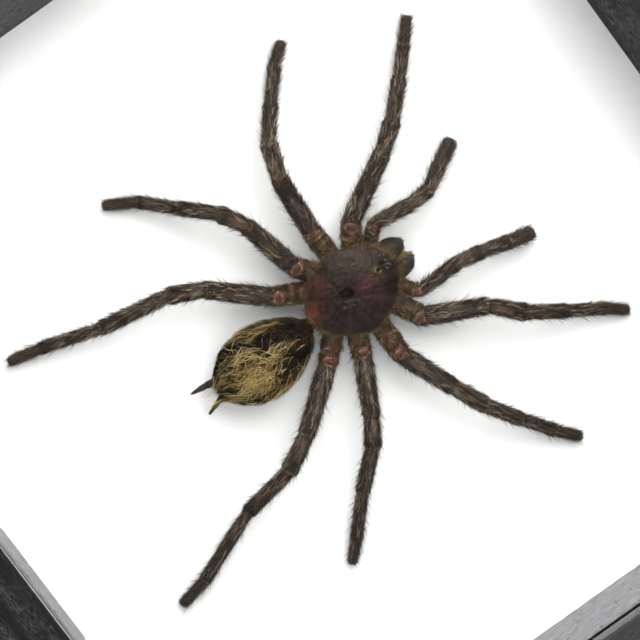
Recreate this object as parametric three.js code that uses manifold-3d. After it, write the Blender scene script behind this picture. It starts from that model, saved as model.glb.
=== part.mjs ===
// Framed tarantula specimen: a dried, spread tarantula held by two dabs of glue on a
// white board, in a deep black wooden shadow box with painted spacer strips and a glass
// front. Millimetres. The box lies on its back: +Z comes out through the glass, +Y is the
// way the head points, and the origin is the middle of the back, level with its edges.
import * as THREE from 'three';
import Module from 'manifold-3d';
import { mergeVertices } from 'three/addons/utils/BufferGeometryUtils.js';

// ---- Driving dimensions -------------------------------------------------------------

const GAP = 0.3; // clearance that touching pieces keep

// Moulding, as an L section that laps over the glass
const OPENING_X = 216;
const OPENING_Y = 194;
const FACE = 20; // width of the front face
const DEPTH = 39;
const LIP = 6; // how far the face laps over the rabbet
const LIP_THICKNESS = 4.6;
const SOFT_EDGE = 0.8;

// What the rabbet holds, from the back
const PANEL_RECESS = 5;
const PANEL_THICKNESS = 2.7;
const BOARD_THICKNESS = 3;
const SPACER_HEIGHT = 20;
const GLASS_THICKNESS = 2.5;

// Flexible steel points that keep the back panel in
const TAB_WIDTH = 14;
const TAB_LENGTH = 18;
const TAB_THICKNESS = 0.5;
const TAB_IN_WOOD = 6;
const TAB_SPACING = 110; // between the two points of one rail

// Riveted hanger plate with a sawtooth slot
const HANGER_WIDTH = 46;
const HANGER_HEIGHT = 13;
const HANGER_THICKNESS = 0.8;
const HANGER_Y = 79;
const HANGER_TEETH = 9;
const RIVET_SPACING = 36;
const RIVET_HEAD = 3.1;
const RIVET_SHANK = 1.4;

// Specimen. Heights are above the board.
const BODY_X = 1.6;
const BODY_Y = 8;
const CARAPACE_HALF_WIDTH = 11.7;
const CARAPACE_FRONT = 14.3;
const CARAPACE_REAR = 12.6;
const HEAD_TAPER = 0.3;

const panelZ = PANEL_RECESS;
const boardZ = panelZ + PANEL_THICKNESS + GAP;
const boardTop = boardZ + BOARD_THICKNESS;
const spacerZ = boardTop + GAP;
const glassZ = spacerZ + SPACER_HEIGHT + GAP;
const lipZ = DEPTH - LIP_THICKNESS;
const rabbetX = OPENING_X + 2 * LIP;
const rabbetY = OPENING_Y + 2 * LIP;

// ---- Materials ----------------------------------------------------------------------

function material(color, roughness, metalness = 0) {
  return new THREE.MeshStandardMaterial({ color, roughness, metalness });
}

const blackWood = material(0x1c1c1c, 0.45);
const greyPaint = material(0xc4c4c2, 0.7);
const whiteBoard = material(0xf2f2f0, 0.85);
const hardboard = material(0x7a5a3c, 0.8);
const clearGlass = material(0xdfe8e4, 0.05);
const springSteel = material(0x8c8f92, 0.35, 1);
const platedSteel = material(0xb5b2a6, 0.3, 1);
const aluminium = material(0xc8cacc, 0.35, 1);
const clearGlue = material(0xd8cfa8, 0.2);
const carapaceSkin = material(0x4b3732, 0.6);
const abdomenFur = material(0x241c16, 0.9);
const legFur = material(0x463e37, 0.75);
const spinneretSkin = material(0x3c342d, 0.7);

// ---- Making shapes ------------------------------------------------------------------

const object = new THREE.Group();

function add(parent, name, geometry, finish) {
  const mesh = new THREE.Mesh(geometry, finish);
  mesh.name = name;
  parent.add(mesh);
  return mesh;
}

// Joins rings of equal count into one closed skin. Rings run counter-clockwise as seen
// from the far end, and each end closes on a point in its middle.
function skin(rings) {
  const sides = rings[0].length;
  const points = rings.flat();
  const faces = [];
  for (let i = 0; i + 1 < rings.length; i++) {
    for (let j = 0; j < sides; j++) {
      const next = (j + 1) % sides;
      const [a, b] = [i * sides + j, i * sides + next];
      faces.push(a, b, b + sides, a, b + sides, a + sides);
    }
  }
  const last = (rings.length - 1) * sides;
  const nearEnd = points.push(middle(rings[0])) - 1;
  const farEnd = points.push(middle(rings[rings.length - 1])) - 1;
  for (let j = 0; j < sides; j++) {
    const next = (j + 1) % sides;
    faces.push(nearEnd, next, j, farEnd, last + j, last + next);
  }
  const geometry = new THREE.BufferGeometry().setFromPoints(points);
  geometry.setIndex(faces);
  return geometry;
}

function middle(ring) {
  const sum = ring.reduce((total, point) => total.add(point), new THREE.Vector3());
  return sum.divideScalar(ring.length);
}

// A closed limb or body through stations of { at, wide, high }: half width and half
// height of an oval section square to the path.
function limb(stations, sides) {
  const up = new THREE.Vector3(0, 0, 1);
  const rings = stations.map(({ at, wide, high }, i) => {
    const before = stations[Math.max(i - 1, 0)].at;
    const after = stations[Math.min(i + 1, stations.length - 1)].at;
    const along = after.clone().sub(before).normalize();
    const across = up.clone().cross(along).normalize();
    const over = along.clone().cross(across);
    return Array.from({ length: sides }, (_, j) => {
      const angle = (2 * Math.PI * j) / sides;
      const point = at.clone().addScaledVector(across, wide * Math.cos(angle));
      return point.addScaledVector(over, high * Math.sin(angle));
    });
  });
  return skin(rings);
}

function mergedPositions(geometry) {
  const bare = geometry.clone();
  bare.deleteAttribute('normal');
  bare.deleteAttribute('uv');
  return mergeVertices(bare, 1e-4);
}

const wasm = await Module();
wasm.setup();

function toSolid(geometry) {
  const merged = mergedPositions(geometry);
  const vertProperties = new Float32Array(merged.attributes.position.array);
  const triVerts = new Uint32Array(merged.index.array);
  return new wasm.Manifold(new wasm.Mesh({ numProp: 3, vertProperties, triVerts }));
}

function cut(geometry, cutters) {
  const solid = cutters.reduce((rest, cutter) => rest.subtract(toSolid(cutter)), toSolid(geometry));
  const { vertProperties, triVerts } = solid.getMesh();
  const result = new THREE.BufferGeometry();
  result.setAttribute('position', new THREE.BufferAttribute(vertProperties, 3));
  result.setIndex(new THREE.BufferAttribute(triVerts, 1));
  return result;
}

// ---- Moulding -----------------------------------------------------------------------

// One rail along X with mitred ends. The opening's edge is at y = 0 and the wood lies
// towards +y. Two thin slots in the rabbet wall take the steel points.
function rail(halfOpening) {
  const mitreGap = GAP * Math.SQRT1_2 * 1.02;
  const section = [
    [LIP, 0],
    [FACE, 0],
    [FACE, DEPTH - SOFT_EDGE],
    [FACE - SOFT_EDGE, DEPTH],
    [SOFT_EDGE, DEPTH],
    [0, DEPTH - SOFT_EDGE],
    [0, lipZ],
    [LIP, lipZ],
  ];
  const ends = [1, -1].map((end) =>
    section.map(([out, z]) => new THREE.Vector3(end * (halfOpening + out - mitreGap), out, z)),
  );
  const count = section.length;
  const flat = section.map(([out, z]) => new THREE.Vector2(out, z));
  const faces = [];
  for (const [a, b, c] of THREE.ShapeUtils.triangulateShape(flat, [])) {
    faces.push(a, b, c, count + a, count + c, count + b);
  }
  for (let j = 0; j < count; j++) {
    const next = (j + 1) % count;
    faces.push(j, count + j, count + next, j, count + next, next);
  }
  const bar = new THREE.BufferGeometry().setFromPoints(ends.flat());
  bar.setIndex(faces);
  const slots = [-1, 1].map((side) => {
    const slot = new THREE.BoxGeometry(
      TAB_WIDTH + 2 * GAP,
      2 * (TAB_IN_WOOD + GAP),
      TAB_THICKNESS + 2 * GAP,
    );
    return slot.translate((side * TAB_SPACING) / 2, LIP, tabMiddle);
  });
  return cut(bar, slots);
}

const tabMiddle = panelZ - GAP - TAB_THICKNESS / 2;

// The four sides: which way each turns, and its half length and its distance out
const SIDES = [
  { name: 'top', turn: 0, half: OPENING_X / 2, out: OPENING_Y / 2 },
  { name: 'left', turn: Math.PI / 2, half: OPENING_Y / 2, out: OPENING_X / 2 },
  { name: 'bottom', turn: Math.PI, half: OPENING_X / 2, out: OPENING_Y / 2 },
  { name: 'right', turn: -Math.PI / 2, half: OPENING_Y / 2, out: OPENING_X / 2 },
];

const sideGroups = SIDES.map(({ name, turn, half, out }) => {
  const side = new THREE.Group();
  side.rotation.z = turn;
  side.position.set(-Math.sin(turn) * out, Math.cos(turn) * out, 0);
  object.add(side);
  add(side, `rail_${name}`, rail(half), blackWood);
  return side;
});

// ---- Spacer strips, glass, board and back -------------------------------------------

// Top and bottom strips run the full width, and the side strips butt between them.
SIDES.forEach(({ name, turn, half }, i) => {
  const thick = LIP - GAP;
  const runsThrough = Math.abs(Math.cos(turn)) > 0.5;
  const length = 2 * (runsThrough ? half + thick : half - GAP);
  const strip = new THREE.BoxGeometry(length, thick, SPACER_HEIGHT);
  strip.translate(0, thick / 2, spacerZ + SPACER_HEIGHT / 2);
  add(sideGroups[i], `spacer_${name}`, strip, greyPaint);
});

function sheet(name, z, thickness, finish) {
  const plate = new THREE.BoxGeometry(rabbetX - 2 * GAP, rabbetY - 2 * GAP, thickness);
  add(object, name, plate, finish).position.z = z + thickness / 2;
}

sheet('glass_pane', glassZ, GLASS_THICKNESS, clearGlass);
sheet('mount_board', boardZ, BOARD_THICKNESS, whiteBoard);
sheet('back_panel', panelZ, PANEL_THICKNESS, hardboard);

// ---- Steel points and hanger --------------------------------------------------------

// A flat point: square in the slot, round at the end that presses on the panel.
function flexTab() {
  const half = TAB_WIDTH / 2;
  const cornerRadius = 3;
  const nose = TAB_IN_WOOD - TAB_LENGTH;
  const outline = new THREE.Shape();
  outline.moveTo(half, TAB_IN_WOOD);
  outline.lineTo(-half, TAB_IN_WOOD);
  outline.lineTo(-half, nose + cornerRadius);
  outline.absarc(-half + cornerRadius, nose + cornerRadius, cornerRadius, Math.PI, 1.5 * Math.PI);
  outline.absarc(half - cornerRadius, nose + cornerRadius, cornerRadius, 1.5 * Math.PI, 2 * Math.PI);
  outline.closePath();
  const settings = { depth: TAB_THICKNESS, bevelEnabled: false, curveSegments: 4 };
  return new THREE.ExtrudeGeometry(outline, settings);
}

SIDES.forEach(({ name }, i) => {
  for (const [suffix, side] of [['a', -1], ['b', 1]]) {
    const tab = add(sideGroups[i], `flex_tab_${name}_${suffix}`, flexTab(), springSteel);
    tab.position.set((side * TAB_SPACING) / 2, LIP, tabMiddle - TAB_THICKNESS / 2);
  }
});

function hangerPlate() {
  const halfWidth = HANGER_WIDTH / 2;
  const halfHeight = HANGER_HEIGHT / 2;
  const corner = 4;
  const outline = new THREE.Shape();
  outline.absarc(halfWidth - corner, halfHeight - corner, corner, 0, Math.PI / 2);
  outline.absarc(corner - halfWidth, halfHeight - corner, corner, Math.PI / 2, Math.PI);
  outline.absarc(corner - halfWidth, corner - halfHeight, corner, Math.PI, 1.5 * Math.PI);
  outline.absarc(halfWidth - corner, corner - halfHeight, corner, 1.5 * Math.PI, 2 * Math.PI);
  for (const side of [-1, 1]) {
    const hole = new THREE.Path();
    hole.absarc((side * RIVET_SPACING) / 2, 0, RIVET_SHANK + GAP, 0, 2 * Math.PI, true);
    outline.holes.push(hole);
  }
  outline.holes.push(sawtoothSlot());
  const settings = { depth: HANGER_THICKNESS, bevelEnabled: false, curveSegments: 5 };
  return new THREE.ExtrudeGeometry(outline, settings);
}

// The slot's upper edge is toothed, so that a nail in any notch holds the box level.
function sawtoothSlot() {
  const halfSlot = 12;
  const pitch = (2 * halfSlot) / HANGER_TEETH;
  const [low, notch, tip] = [-3.2, 3, 1.4];
  const slot = new THREE.Path();
  slot.moveTo(-halfSlot, low);
  for (let tooth = 0; tooth < HANGER_TEETH; tooth++) {
    slot.lineTo(-halfSlot + tooth * pitch, tip);
    slot.lineTo(-halfSlot + (tooth + 0.5) * pitch, notch);
  }
  slot.lineTo(halfSlot, tip);
  slot.lineTo(halfSlot, low);
  slot.closePath();
  return slot;
}

// A domed head below the plate and a shank up through its hole.
function rivet() {
  const shankTop = HANGER_THICKNESS + 2 * GAP - 0.1;
  const profile = [
    [0, -0.9],
    [1.6, -0.75],
    [2.7, -0.3],
    [RIVET_HEAD, 0],
    [RIVET_SHANK, 0],
    [RIVET_SHANK, shankTop],
    [0, shankTop],
  ];
  const lathe = new THREE.LatheGeometry(profile.map(([r, y]) => new THREE.Vector2(r, y)), 16);
  return lathe.rotateX(Math.PI / 2);
}

const hangerZ = panelZ - GAP - HANGER_THICKNESS;
add(object, 'hanger_plate', hangerPlate(), platedSteel).position.set(0, HANGER_Y, hangerZ);
for (const [name, side] of [['left', -1], ['right', 1]]) {
  const pin = add(object, `hanger_rivet_${name}`, rivet(), aluminium);
  pin.position.set((side * RIVET_SPACING) / 2, HANGER_Y, hangerZ - GAP);
}

// ---- Tarantula ----------------------------------------------------------------------

const specimen = new THREE.Group();
specimen.position.z = boardTop;
object.add(specimen);

// Seen from above the carapace is an egg that narrows into the head.
function carapaceOutline(angle, scale) {
  const ahead = Math.cos(angle);
  const reach = ahead > 0 ? CARAPACE_FRONT : CARAPACE_REAR;
  const width = CARAPACE_HALF_WIDTH * (1 - HEAD_TAPER * Math.max(ahead, 0) ** 2);
  return [BODY_X - width * Math.sin(angle) * scale, BODY_Y + reach * ahead * scale];
}

// The breastplate below, then the carapace that overhangs it like a low dome.
function cephalothorax() {
  const layers = [
    [4.2, 0.28],
    [4.8, 0.4],
    [9.6, 0.4],
    [10.2, 0.9],
    [10.7, 1],
    [11.5, 0.97],
    [12.6, 0.84],
    [13.5, 0.6],
    [14.0, 0.32],
  ];
  const sides = 24;
  const rings = layers.map(([z, scale]) =>
    Array.from({ length: sides }, (_, j) => {
      const [x, y] = carapaceOutline((2 * Math.PI * j) / sides, scale);
      return new THREE.Vector3(x, y, z);
    }),
  );
  return skin(rings);
}

add(specimen, 'cephalothorax', cephalothorax(), carapaceSkin);

// Pedicel, then the egg of the abdomen: distance along, middle height, half width and
// half height. The whole leans a little to the right towards the tail.
function abdomen() {
  const sections = [
    [0, 6.4, 1.2, 1.2],
    [-5.6, 6.6, 1.5, 1.5],
    [-7.2, 7.2, 3.6, 3.0],
    [-10, 8.0, 6.6, 5.0],
    [-14, 8.3, 8.7, 6.1],
    [-18.5, 8.3, 9.5, 6.5],
    [-23.5, 8.1, 8.9, 6.2],
    [-28, 7.6, 6.9, 5.1],
    [-31, 7.0, 4.5, 3.5],
    [-32.7, 6.6, 2.0, 1.6],
  ];
  const lean = -0.02;
  const stations = sections.map(([y, z, wide, high]) => ({
    at: new THREE.Vector3(BODY_X + 1.6 + lean * y, y, z),
    wide,
    high,
  }));
  return limb(stations, 22);
}

add(specimen, 'abdomen', abdomen(), abdomenFur);

// Jaw base: a blunt oval in front of the head, one each side of the midline.
function chelicera(side) {
  const sections = [
    [19.8, 6.6, 1.3, 1.6],
    [20.6, 6.5, 2.1, 2.6],
    [22, 6.3, 2.3, 3.1],
    [23.3, 6.1, 2.0, 2.7],
    [24.3, 5.8, 1.1, 1.6],
  ];
  const stations = sections.map(([y, z, wide, high]) => ({
    at: new THREE.Vector3(BODY_X + 0.4 + side * 2.5, y, z),
    wide,
    high,
  }));
  return limb(stations, 12);
}

add(specimen, 'chelicera_left', chelicera(-1), legFur);
add(specimen, 'chelicera_right', chelicera(1), legFur);

// Where each limb leaves the breastplate, to the right of and ahead of its middle
const ROOTS = { palp: [3.5, 8.5], 1: [6, 5.5], 2: [6.8, 1.2], 3: [6.3, -3], 4: [4.6, -6.8] };

// Each limb in plan: where its hip joint is, then the length and heading of each segment
// beyond it, in millimetres and in degrees from +X. Legs have femur, patella, tibia,
// metatarsus and tarsus. Pedipalps have no metatarsus.
const LEGS = {
  leg_left_1: { root: 1, hip: [-12.2, 18.1], run: [[20.1, 124], [7.9, 127], [9.7, 131], [8.3, 134], [7, 137]] },
  leg_left_2: { root: 2, hip: [-16.3, 9.1], run: [[17, 175], [9.6, 161], [8.5, 137], [8.9, 136], [6.3, 127]] },
  leg_left_3: { root: 3, hip: [-11.7, 0.3], run: [[16.8, 190], [7.5, 209], [9.3, 232], [10.1, 229], [8.4, 242]] },
  leg_left_4: { root: 4, hip: [-8, -7.8], run: [[18.3, 223], [8.8, 244], [18.6, 264], [15.5, 256], [8.6, 260]] },
  leg_right_1: { root: 1, hip: [18.4, 18.6], run: [[16.3, 67], [9.9, 41], [10.9, 48], [10.1, 51], [6.5, 45]] },
  leg_right_2: { root: 2, hip: [23.1, 8.9], run: [[14.8, 23], [9.7, 22], [10.7, 26], [10.6, 30], [7.4, 36]] },
  leg_right_3: { root: 3, hip: [17.4, 1.2], run: [[14.8, 332], [8.1, 328], [13, 317], [13.6, 321], [7, 317]] },
  leg_right_4: { root: 4, hip: [13.9, -6.7], run: [[18.4, 306], [10.2, 301], [15, 285], [21.2, 296], [8.6, 285]] },
};
const LEG_HEIGHTS = [6.5, 7.5, 11.5, 10.8, 6.6, 3.1, 1.9];
const LEG_GIRTHS = [1.75, 2.05, 2.15, 2.0, 1.7, 1.45, 1.35]; // half widths at those joints

const PALPS = {
  pedipalp_left: { root: 'palp', hip: [-8.4, 22.2], run: [[10.5, 87], [5.8, 90], [5.8, 115], [7, 113]] },
  pedipalp_right: { root: 'palp', hip: [12.7, 21.6], run: [[12, 96], [6.8, 76], [7.3, 64], [6.8, 67]] },
};
const PALP_HEIGHTS = [6.5, 7.5, 10, 9.2, 5.8, 2.8];
const PALP_GIRTHS = [1.5, 1.6, 1.65, 1.75, 1.65, 1.4];

// Each segment swells along its middle and is pinched at its joints.
function jointedLimb({ root, hip, run }, heights, girths) {
  const side = hip[0] < BODY_X ? -1 : 1;
  const [across, ahead] = ROOTS[root];
  const joints = [[BODY_X + side * across, BODY_Y + ahead], hip];
  for (const [length, heading] of run) {
    const angle = THREE.MathUtils.degToRad(heading);
    const [x, y] = joints[joints.length - 1];
    joints.push([x + length * Math.cos(angle), y + length * Math.sin(angle)]);
  }
  const corners = joints.map(([x, y], i) => new THREE.Vector3(x, y, heights[i]));
  const pinch = 0.86;
  const swell = 1.04;
  const stations = [];
  for (let i = 0; i + 1 < corners.length; i++) {
    for (const [along, fullness] of [[0, pinch], [0.2, 1], [0.55, swell], [0.85, 1]]) {
      const girth = THREE.MathUtils.lerp(girths[i], girths[i + 1], along) * fullness;
      stations.push({ at: corners[i].clone().lerp(corners[i + 1], along), wide: girth, high: girth });
    }
  }
  const tip = girths[girths.length - 1] * 0.6;
  stations.push({ at: corners[corners.length - 1], wide: tip, high: tip });
  return limb(stations, 8);
}

for (const [name, leg] of Object.entries(LEGS)) {
  add(specimen, name, jointedLimb(leg, LEG_HEIGHTS, LEG_GIRTHS), legFur);
}
for (const [name, palp] of Object.entries(PALPS)) {
  add(specimen, name, jointedLimb(palp, PALP_HEIGHTS, PALP_GIRTHS), legFur);
}

// Spinnerets: a pair of tapered, ringed fingers behind the abdomen.
function spinneret(base, tip, thickness) {
  const joints = [[0, 0.8], [0.3, 1], [0.36, 0.86], [0.62, 0.9], [0.68, 0.78], [0.9, 0.7], [1, 0.35]];
  const stations = joints.map(([along, fullness]) => ({
    at: base.clone().lerp(tip, along),
    wide: thickness * fullness,
    high: thickness * fullness,
  }));
  return limb(stations, 8);
}

const leftBase = new THREE.Vector3(1.3, -33.6, 5.6);
const leftTip = new THREE.Vector3(1, -38.6, 4.2);
const rightBase = new THREE.Vector3(5.9, -33.6, 5.2);
const rightTip = new THREE.Vector3(8.1, -38.2, 4.2);
add(specimen, 'spinneret_left', spinneret(leftBase, leftTip, 0.95), spinneretSkin);
add(specimen, 'spinneret_right', spinneret(rightBase, rightTip, 0.68), spinneretSkin);

// ---- Glue ---------------------------------------------------------------------------

// A squeezed dab: round, with a bulging rim, between the board and the body above it.
function glueDab(radius, height) {
  const profile = [
    [0, 0],
    [radius * 0.94, 0],
    [radius, height * 0.3],
    [radius * 0.9, height * 0.7],
    [radius * 0.7, height],
    [0, height],
  ];
  const lathe = new THREE.LatheGeometry(profile.map(([r, y]) => new THREE.Vector2(r, y)), 16);
  return lathe.rotateX(Math.PI / 2);
}

add(specimen, 'glue_dab_front', glueDab(3.6, 3.6), clearGlue).position.set(BODY_X, BODY_Y, GAP);
add(specimen, 'glue_dab_rear', glueDab(4, 1.1), clearGlue).position.set(BODY_X + 1.8, -18, GAP);

export default object;
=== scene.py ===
import math

import bpy
import numpy as np
from mathutils import Matrix, Vector


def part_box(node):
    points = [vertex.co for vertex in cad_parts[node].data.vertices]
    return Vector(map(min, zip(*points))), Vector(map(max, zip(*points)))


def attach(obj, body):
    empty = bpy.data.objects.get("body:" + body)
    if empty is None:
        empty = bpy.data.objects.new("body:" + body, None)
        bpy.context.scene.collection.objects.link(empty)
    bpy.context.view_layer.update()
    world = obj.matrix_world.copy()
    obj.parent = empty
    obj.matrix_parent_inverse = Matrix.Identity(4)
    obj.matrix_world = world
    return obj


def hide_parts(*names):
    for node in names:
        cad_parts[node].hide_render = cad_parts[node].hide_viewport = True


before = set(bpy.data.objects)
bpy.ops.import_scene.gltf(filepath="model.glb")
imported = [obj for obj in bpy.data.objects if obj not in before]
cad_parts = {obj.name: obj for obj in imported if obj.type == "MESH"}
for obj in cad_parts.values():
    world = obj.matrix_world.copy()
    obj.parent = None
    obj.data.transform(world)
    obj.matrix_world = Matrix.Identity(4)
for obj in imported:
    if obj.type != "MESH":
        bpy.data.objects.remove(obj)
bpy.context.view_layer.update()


# ---- Black stained rails ------------------------------------------------------------
# Four mitred lengths of open-grained softwood moulding, machined with soft edges, dyed
# black and given one thin satin coat, so the grain still shows as fine grey streaks.

MM = 0.001  # sizes are in millimetres, the scene in metres
GAP = 0.3  # clearance between pieces that touch


def linear(code):
    """An sRGB hex colour as linear RGBA."""
    channels = [int(code[i:i + 2], 16) / 255 for i in (0, 2, 4)]
    return tuple(
        c / 12.92 if c < 0.04045 else ((c + 0.055) / 1.055) ** 2.4 for c in channels
    ) + (1.0,)


def add(tree, kind, inputs=None, **settings):
    """Adds a shader node with its settings. inputs maps a socket to a value or its feed."""
    made = tree.nodes.new("ShaderNode" + kind)
    for name, value in settings.items():
        setattr(made, name, value)
    for name, value in (inputs or {}).items():
        if isinstance(value, bpy.types.NodeSocket):
            tree.links.new(value, made.inputs[name])
        else:
            made.inputs[name].default_value = value
    return made


def finish(name, **sockets):
    """A material, its nodes and the object's own coordinates for its patterns. Sockets of its
    one Principled surface are named with _ for a space."""
    made = bpy.data.materials.new(name)
    made.use_nodes = True
    tree = made.node_tree
    for socket, value in sockets.items():
        tree.nodes["Principled BSDF"].inputs[socket.replace("_", " ")].default_value = value
    return made, tree, add(tree, "TexCoord").outputs["Object"]


def dress(made, colour, gloss_by, rough, relief_by=None, depth=0.0, strength=0.0):
    """Gives a material its colour, a roughness that follows one pattern between two ends, and
    a relief of depth millimetres that follows another."""
    tree, surface = made.node_tree, made.node_tree.nodes["Principled BSDF"].inputs
    tree.links.new(colour, surface["Base Color"])
    gloss = add(tree, "MapRange", {"Value": gloss_by, "To Min": rough[0], "To Max": rough[1]})
    tree.links.new(gloss.outputs[0], surface["Roughness"])
    if relief_by:
        relief = add(tree, "Bump", {
            "Height": relief_by, "Distance": depth * MM, "Strength": strength,
        })
        tree.links.new(relief.outputs[0], surface["Normal"])
    return made


MIX_FACTOR, MIX_A, MIX_B, MIX_RESULT = 0, 6, 7, 2  # sockets of a colour Mix node


def piece(name, points, faces, material, replaces=(), smooth=True):
    """One mesh piece from points in millimetres, riding on the box, in the frame's axes."""
    mesh = bpy.data.meshes.new(name)
    mesh.from_pydata((np.asarray(points) * MM).tolist(), [], [list(face) for face in faces])
    mesh.polygons.foreach_set("use_smooth", [smooth] * len(mesh.polygons))
    mesh.materials.append(material)
    mesh.update()
    made = bpy.data.objects.new(name, mesh)
    bpy.context.scene.collection.objects.link(made)
    settle(made, replaces)
    return made


def settle(made, replaces):
    """The piece rides on the box and stands in for its CAD nodes."""
    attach(made, "root")
    if replaces:
        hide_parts(*replaces)


def paint(made, **masks):
    """Stores one number a point under each name, for the material to read."""
    for name, values in masks.items():
        layer = made.data.attributes.new(name, "FLOAT", "POINT")
        layer.data.foreach_set("value", np.clip(values, 0, 1).astype(np.float32))


def tube_faces(rings, sides, turned=False):
    """A cap at each end and quads between rings of points. turned is for rings whose points
    run the other way round."""
    faces = [list(range(sides)), [(rings - 1) * sides + j for j in range(sides)]]
    faces[turned].reverse()
    for i in range(rings - 1):
        for j in range(sides):
            a, b = i * sides + j, i * sides + (j + 1) % sides
            faces.append([a, a + sides, b + sides, b] if turned else [a, b, b + sides, a + sides])
    return faces


def lay_length(made, turn, out, crease):
    """Turns a length to its side of the opening. Edges of over crease degrees stay sharp."""
    made.rotation_euler.z = turn
    made.location = (-math.sin(turn) * out * MM, math.cos(turn) * out * MM, 0)
    made.data.set_sharp_from_angle(angle=math.radians(crease))


def coat_side(made, material, side, sides):
    """Gives one long side of a length another finish than its main one."""
    ends = 2
    made.data.materials.append(material)
    for face in made.data.polygons[ends:]:
        face.material_index = int((face.index - ends) % sides == side)


def stained_wood():
    """Dyed open-grained wood, its grain along X: satin black with fine grey streaks. Where the
    points' own number for it is high, more grey grain shows: partly where less dye soaked
    in, partly a painted sheen. Real pores are 0.05 mm wide; they are drawn at 0.2 mm, to show."""
    made, tree, place = finish(
        "black_dyed_softwood_grain_across", IOR=1.45, Specular_IOR_Level=0.3)
    pore_length, pore_width = 1.7 * MM, 0.2 * MM
    band_length, band_width = 38 * MM, 2.4 * MM
    pores_at = add(tree, "Mapping", {
        "Vector": place, "Scale": (1 / pore_length, 1 / pore_width, 1 / pore_width),
    })
    pores = add(tree, "TexNoise", {
        "Vector": pores_at.outputs[0], "Scale": 1.0, "Detail": 3.0, "Roughness": 0.6,
    }).outputs[0]
    bands_at = add(tree, "Mapping", {
        "Vector": place, "Scale": (1 / band_length, 1 / band_width, 1 / band_width),
    })
    bands = add(tree, "TexNoise", {"Vector": bands_at.outputs[0], "Scale": 1.0, "Detail": 2.0})
    blotch = add(tree, "TexNoise", {"Vector": place, "Scale": 1 / (9 * MM), "Detail": 3.0})
    streak = add(tree, "MapRange", {"Value": pores, "From Min": 0.47, "From Max": 0.68})
    sheen = add(tree, "MapRange", {"Value": bands.outputs[0], "From Min": 0.4, "From Max": 0.7})
    # Painted sheen: where grain streaks meet the long bands, the black turns pale grey, as a satin
    # highlight
    worn = add(tree, "Math", {0: streak.outputs[0], 1: sheen.outputs[0]}, operation="MULTIPLY")
    dyed = add(tree, "Mix", {
        MIX_FACTOR: streak.outputs[0], MIX_A: linear("040404"), MIX_B: linear("1c1c1c"),
    }, data_type="RGBA").outputs[MIX_RESULT]
    lit = add(tree, "Mix", {
        MIX_FACTOR: worn.outputs[0], MIX_A: dyed, MIX_B: linear("5c5c5d"),
    }, data_type="RGBA").outputs[MIX_RESULT]
    grey = add(tree, "Mix", {
        MIX_FACTOR: pores, MIX_A: linear("1d1d1c"), MIX_B: linear("686866"),
    }, data_type="RGBA").outputs[MIX_RESULT]
    # Greyer grain, set rail by rail: partly dye that was refused, partly a painted sheen
    faded = add(tree, "Attribute", attribute_name="faded").outputs["Fac"]
    dye_and_sheen = add(tree, "Mix", {MIX_FACTOR: faded, MIX_A: lit, MIX_B: grey}, data_type="RGBA")
    return dress(made, dye_and_sheen.outputs[MIX_RESULT], blotch.outputs[0], (0.42, 0.65), pores, 0.12, 0.7)


def mottled(name, dark, light, patch, rough, detail=2.0, **sockets):
    """A finish whose colour and roughness drift between two ends, in patches of patch mm."""
    made, tree, place = finish(name, **sockets)
    drift = add(tree, "TexNoise", {
        "Vector": place, "Scale": 1 / (patch * MM), "Detail": detail,
    }).outputs[0]
    tone = add(tree, "Mix", {
        MIX_FACTOR: drift, MIX_A: linear(dark), MIX_B: linear(light),
    }, data_type="RGBA")
    return dress(made, tone.outputs[MIX_RESULT], drift, rough)


# The sizes follow the CAD rails, the opening and the glass that they lap over
rail_low, rail_high = (np.array(corner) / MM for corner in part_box("rail_right"))
glass_high = np.array(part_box("glass_pane")[1]) / MM
FACE = rail_high[0] - rail_low[0]
DEPTH = rail_high[2] - rail_low[2]
OPENING = np.array([rail_low[0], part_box("rail_top")[0][1] / MM])  # half width and half height
LIP = glass_high[0] + GAP - OPENING[0]
LIP_UNDER = glass_high[2] + GAP
EDGE_RADIUS = 0.9
REAR_EDGE = 0.5
MITRE = 0.12  # how far each end stands back from the mitre's line
WAVE = 0.05  # how far hand sanding leaves the faces from flat

black_wood = stained_wood()

# The lip's inner edge is sanded smooth, so its coat lies like lacquer and mirrors the board
sanded_edge = mottled(
    "black_lacquer_sanded_edge", "161716", "2a2c2a", 2.5, (0.1, 0.3),
    IOR=1.45, Coat_Weight=0.35, Coat_Roughness=0.12,
)


def rail_section():
    """The moulding's outline as (out from the opening, height), with rounded front edges."""
    outline = [(LIP, 0.0), (FACE - REAR_EDGE, 0.0), (FACE, REAR_EDGE)]
    quarter = [math.radians(18 * step) for step in range(6)]
    for turn in quarter:
        outline.append((
            FACE - EDGE_RADIUS * (1 - math.cos(turn)), DEPTH - EDGE_RADIUS * (1 - math.sin(turn)),
        ))
    for turn in quarter:
        outline.append((
            EDGE_RADIUS * (1 - math.sin(turn)), DEPTH - EDGE_RADIUS * (1 - math.cos(turn)),
        ))
    return np.array(outline + [(0.0, LIP_UNDER), (LIP, LIP_UNDER)])


def rail(name, half, turn, out, faded):
    """One mitred length: half its inner length, its side of the box, how far out that is, and
    how grey it shows, partly as dye that it refused, partly as painted sheen."""
    section = rail_section()
    count, steps = len(section), 90
    points = []
    for step in range(steps + 1):
        share = 2 * step / steps - 1
        wave = abs(WAVE * math.sin(9.1 * share + 2 * turn) * math.sin(23 * share))
        for along, height in section:
            front = height > DEPTH - EDGE_RADIUS
            points.append((share * (half + along - MITRE), along, height - front * wave))
    faces = tube_faces(steps + 1, count, turned=True)
    made = piece(name + "_wood", points, faces, black_wood, [name])
    paint(made, faded=np.full(len(points), faded))
    coat_side(made, sanded_edge, count - 3, count)
    lay_length(made, turn, out, 40)


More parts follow.
